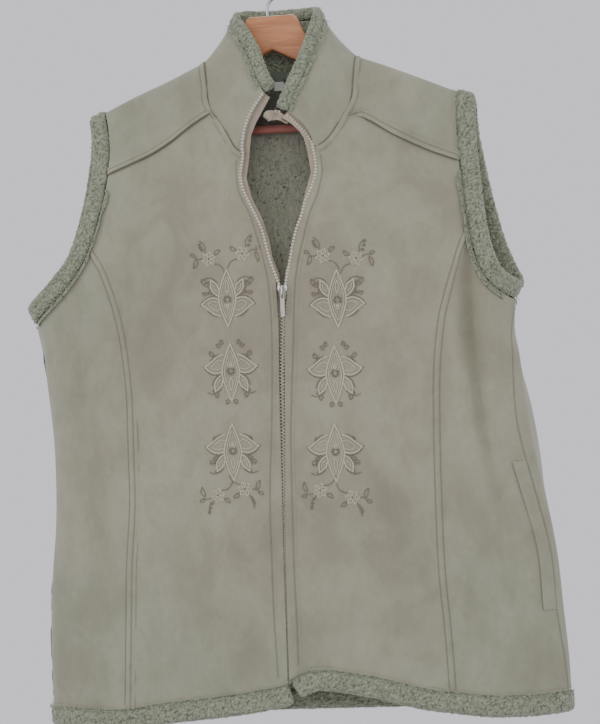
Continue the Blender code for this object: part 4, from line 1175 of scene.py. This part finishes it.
def sprayStrokes(turned, upside):
    pale, mauve = [], []
    for k in range(6):
        turn = math.radians(60 * k + 12 * turned)
        way = np.array([math.cos(turn), math.sin(turn)])
        pale.append((leafLine(way * 1.6, way * 7.6, 2.3, 0.08), "fine"))
        pale.append((bent(way * 2.2, way * 6.2, 0.05, 5), "fine"))
    for k in range(3):
        mauve.append((curlLine((1.2 * math.cos(2.1 * k), 1.2 * math.sin(2.1 * k)), 120 * k, 1.0, 0.9), "fine"))
    mauve.append((bent((turned * 5, -upside * 5), (turned * 16, -upside * 14), 0.18 * turned * upside), "fine"))
    mauve.append((bent((-turned * 6, upside * 1), (-turned * 15, upside * 3), 0.2), "fine"))
    mauve.append((leafLine((-turned * 13.5, upside * 1.0), (-turned * 16.5, -upside * 9.0), 2.0, 0.1), "fine"))
    mauve.append((leafLine((-turned * 14.5, upside * 4.0), (-turned * 19.5, upside * 6.0), 1.7, 0.1), "fine"))
    mauve.append((bent((-turned * 4, upside * 6), (-turned * 9, upside * 19), -0.2 * turned), "fine"))
    for step in range(3):
        place = (-turned * (5.5 + 1.6 * step), upside * (9 + 3.6 * step))
        mauve.append((curlLine(place, 70 + 40 * step, 1.25, 0.9, turned), "fine"))
    mauve.append((leafLine((turned * 7, upside * 4), (turned * 12.5, upside * 8.5), 1.9, 0.15), "fine"))
    return pale, mauve


def sewStrokes(strokes, x, z):
    frames = []
    for line, weight in strokes:
        placed = evenLine(np.array(line) + np.array([x, z]), needlework["pitch"])
        spots = onFront(placed, needlework["pitch"])
        tangent = unit(np.gradient(spots, axis=0))
        thick = needlework[weight] / 1000
        for k, place in enumerate(spots):
            out = np.array(skin.find_nearest(Vector(place))[1])
            if out[1] > 0:
                out = -out
            lean = math.radians(needlework["lean"])
            side = unit(np.cross(tangent[k], out))
            along = unit(tangent[k] * math.cos(lean) + side * math.sin(lean))
            length = along * needlework["stitch"] / 1000 * needlework["stretch"][weight]
            frames.append((place + out * thick * 0.28, (length, np.cross(out, along) * thick, out * thick * 0.8)))
    return frames


paleFrames, mauveFrames = [], []
for front, x, z, kind in needlework["motifs"]:
    pale, mauve = spindleStrokes(kind)
    paleFrames.extend(sewStrokes(pale, x, z))
    mauveFrames.extend(sewStrokes(mauve, x, z))
for x, z, turned, upside in needlework["sprays"]:
    pale, mauve = sprayStrokes(turned, upside)
    paleFrames.extend(sewStrokes(pale, x, z))
    mauveFrames.extend(sewStrokes(mauve, x, z))
repeatPiece(oneStitch, paleFrames, "embroidery_pale", "pale")
repeatPiece(oneStitch, mauveFrames, "embroidery_mauve", "mauve")
print("embroidery stitches", len(paleFrames), len(mauveFrames))


# The fleece of the back's inside, where it shows through the open zip, with real curls.
lining = {"x": (-62, 92), "z": (-372, -128), "step": 1.5, "rise": 0.45}


def layLining():
    xs = np.arange(lining["x"][0], lining["x"][1], lining["step"]) / 1000
    zs = np.arange(lining["z"][0], lining["z"][1], lining["step"]) / 1000
    grid = np.zeros((len(zs), len(xs), 3))
    for r, z in enumerate(zs):
        for c, x in enumerate(xs):
            hit = skin.ray_cast(Vector((x, -0.004, z)), Vector((0, 1, 0)), 0.2)[0]
            grid[r, c] = (x, 0.02 if hit is None else hit.y, z)
    grid[:, :, 1] -= 0.0004
    border = np.minimum.outer(*(np.minimum(np.arange(count), np.arange(count)[::-1]) for count in grid.shape[:2]))
    share = np.clip(border / 8, 0, 1)
    grid[:, :, 1] += (1 - share) * 0.0016
    obj = meshOfGrids("back_lining_curls", [(grid, np.tile(facingFront, (len(zs), 1)))], "insideCurls")
    raiseCurls(obj, share.reshape(-1) * lining["rise"])


layLining()
print("lining curled")


# Loose loops of pile that break up the fleece's outline.
tuft = {
    "loops": {"collar_trim": 600, "armhole_trim_left": 700, "armhole_trim_right": 700, "hem_trim": 1050},
    "joins": {
        "collar_trim": "collarTop", "armhole_trim_left": "armholeLeft", "armhole_trim_right": "armholeRight",
        "hem_trim": "hem",
    },
    "radius": 0.9, "pitch": 1.6,
}
bpy.ops.object.select_all(action="DESELECT")
bpy.ops.mesh.primitive_torus_add(major_segments=6, minor_segments=3, major_radius=0.5, minor_radius=0.1, location=(0, 0, 0))
oneLoop = bpy.context.object
draw = random.Random(7)


def looseLoops(node):
    obj = edges[node]
    areas = np.array([face.area for face in obj.data.polygons])
    picks = draw.choices(range(len(areas)), weights=areas, k=tuft["loops"][node])
    frames = []
    for k in picks:
        face = obj.data.polygons[k]
        out = np.array(face.normal)
        spread = np.array([draw.gauss(0, 1) for axis in range(3)])
        first = unit(np.cross(out, spread))
        second = unit(out + 0.55 * np.cross(out, first) + 0.3 * spread / 3)
        third = unit(np.cross(first, second))
        size = tuft["radius"] / 1000 * 2 * draw.uniform(0.7, 1.25)
        place = np.array(face.center) + out * size * draw.uniform(0.05, 0.28)
        frames.append((place, (first * size, second * size * draw.uniform(0.7, 1.1), third * size)))
    line, towards = edgeLines[tuft["joins"][node]]
    line = evenLine(line, tuft["pitch"] / 1000)
    for point, beside, out in zip(line, *across(line, towards)[1:]):  # a close row where the fleece meets the suede
        first = unit(beside + 0.5 * np.array([draw.gauss(0, 1) for axis in range(3)]))
        second = unit(np.cross(out, first))
        size = tuft["radius"] / 1000 * 2 * draw.uniform(0.8, 1.3)
        place = point + (beside * draw.uniform(-2.4, 0.4) + out * draw.uniform(1.0, 2.4)) / 1000
        frames.append((place, (first * size, second * size, unit(np.cross(first, second)) * size)))
    piece = repeatPiece(oneLoop, frames, node + "_loops", "pile")
    levels = np.repeat([draw.uniform(0.45, 1.0) for frame in frames], len(oneLoop.data.vertices))
    keepValues(piece, "curlHeight", levels)


for node in tuft["loops"]:
    looseLoops(node)
print("loose loops laid")
for master in (oneStitch, oneTooth, oneLobe, oneLoop):
    bpy.data.objects.remove(master)

triangles = {obj.name: sum(len(face.vertices) - 2 for face in obj.data.polygons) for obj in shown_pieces()}
print("triangles", sum(triangles.values()), "at most", max(triangles.values()))
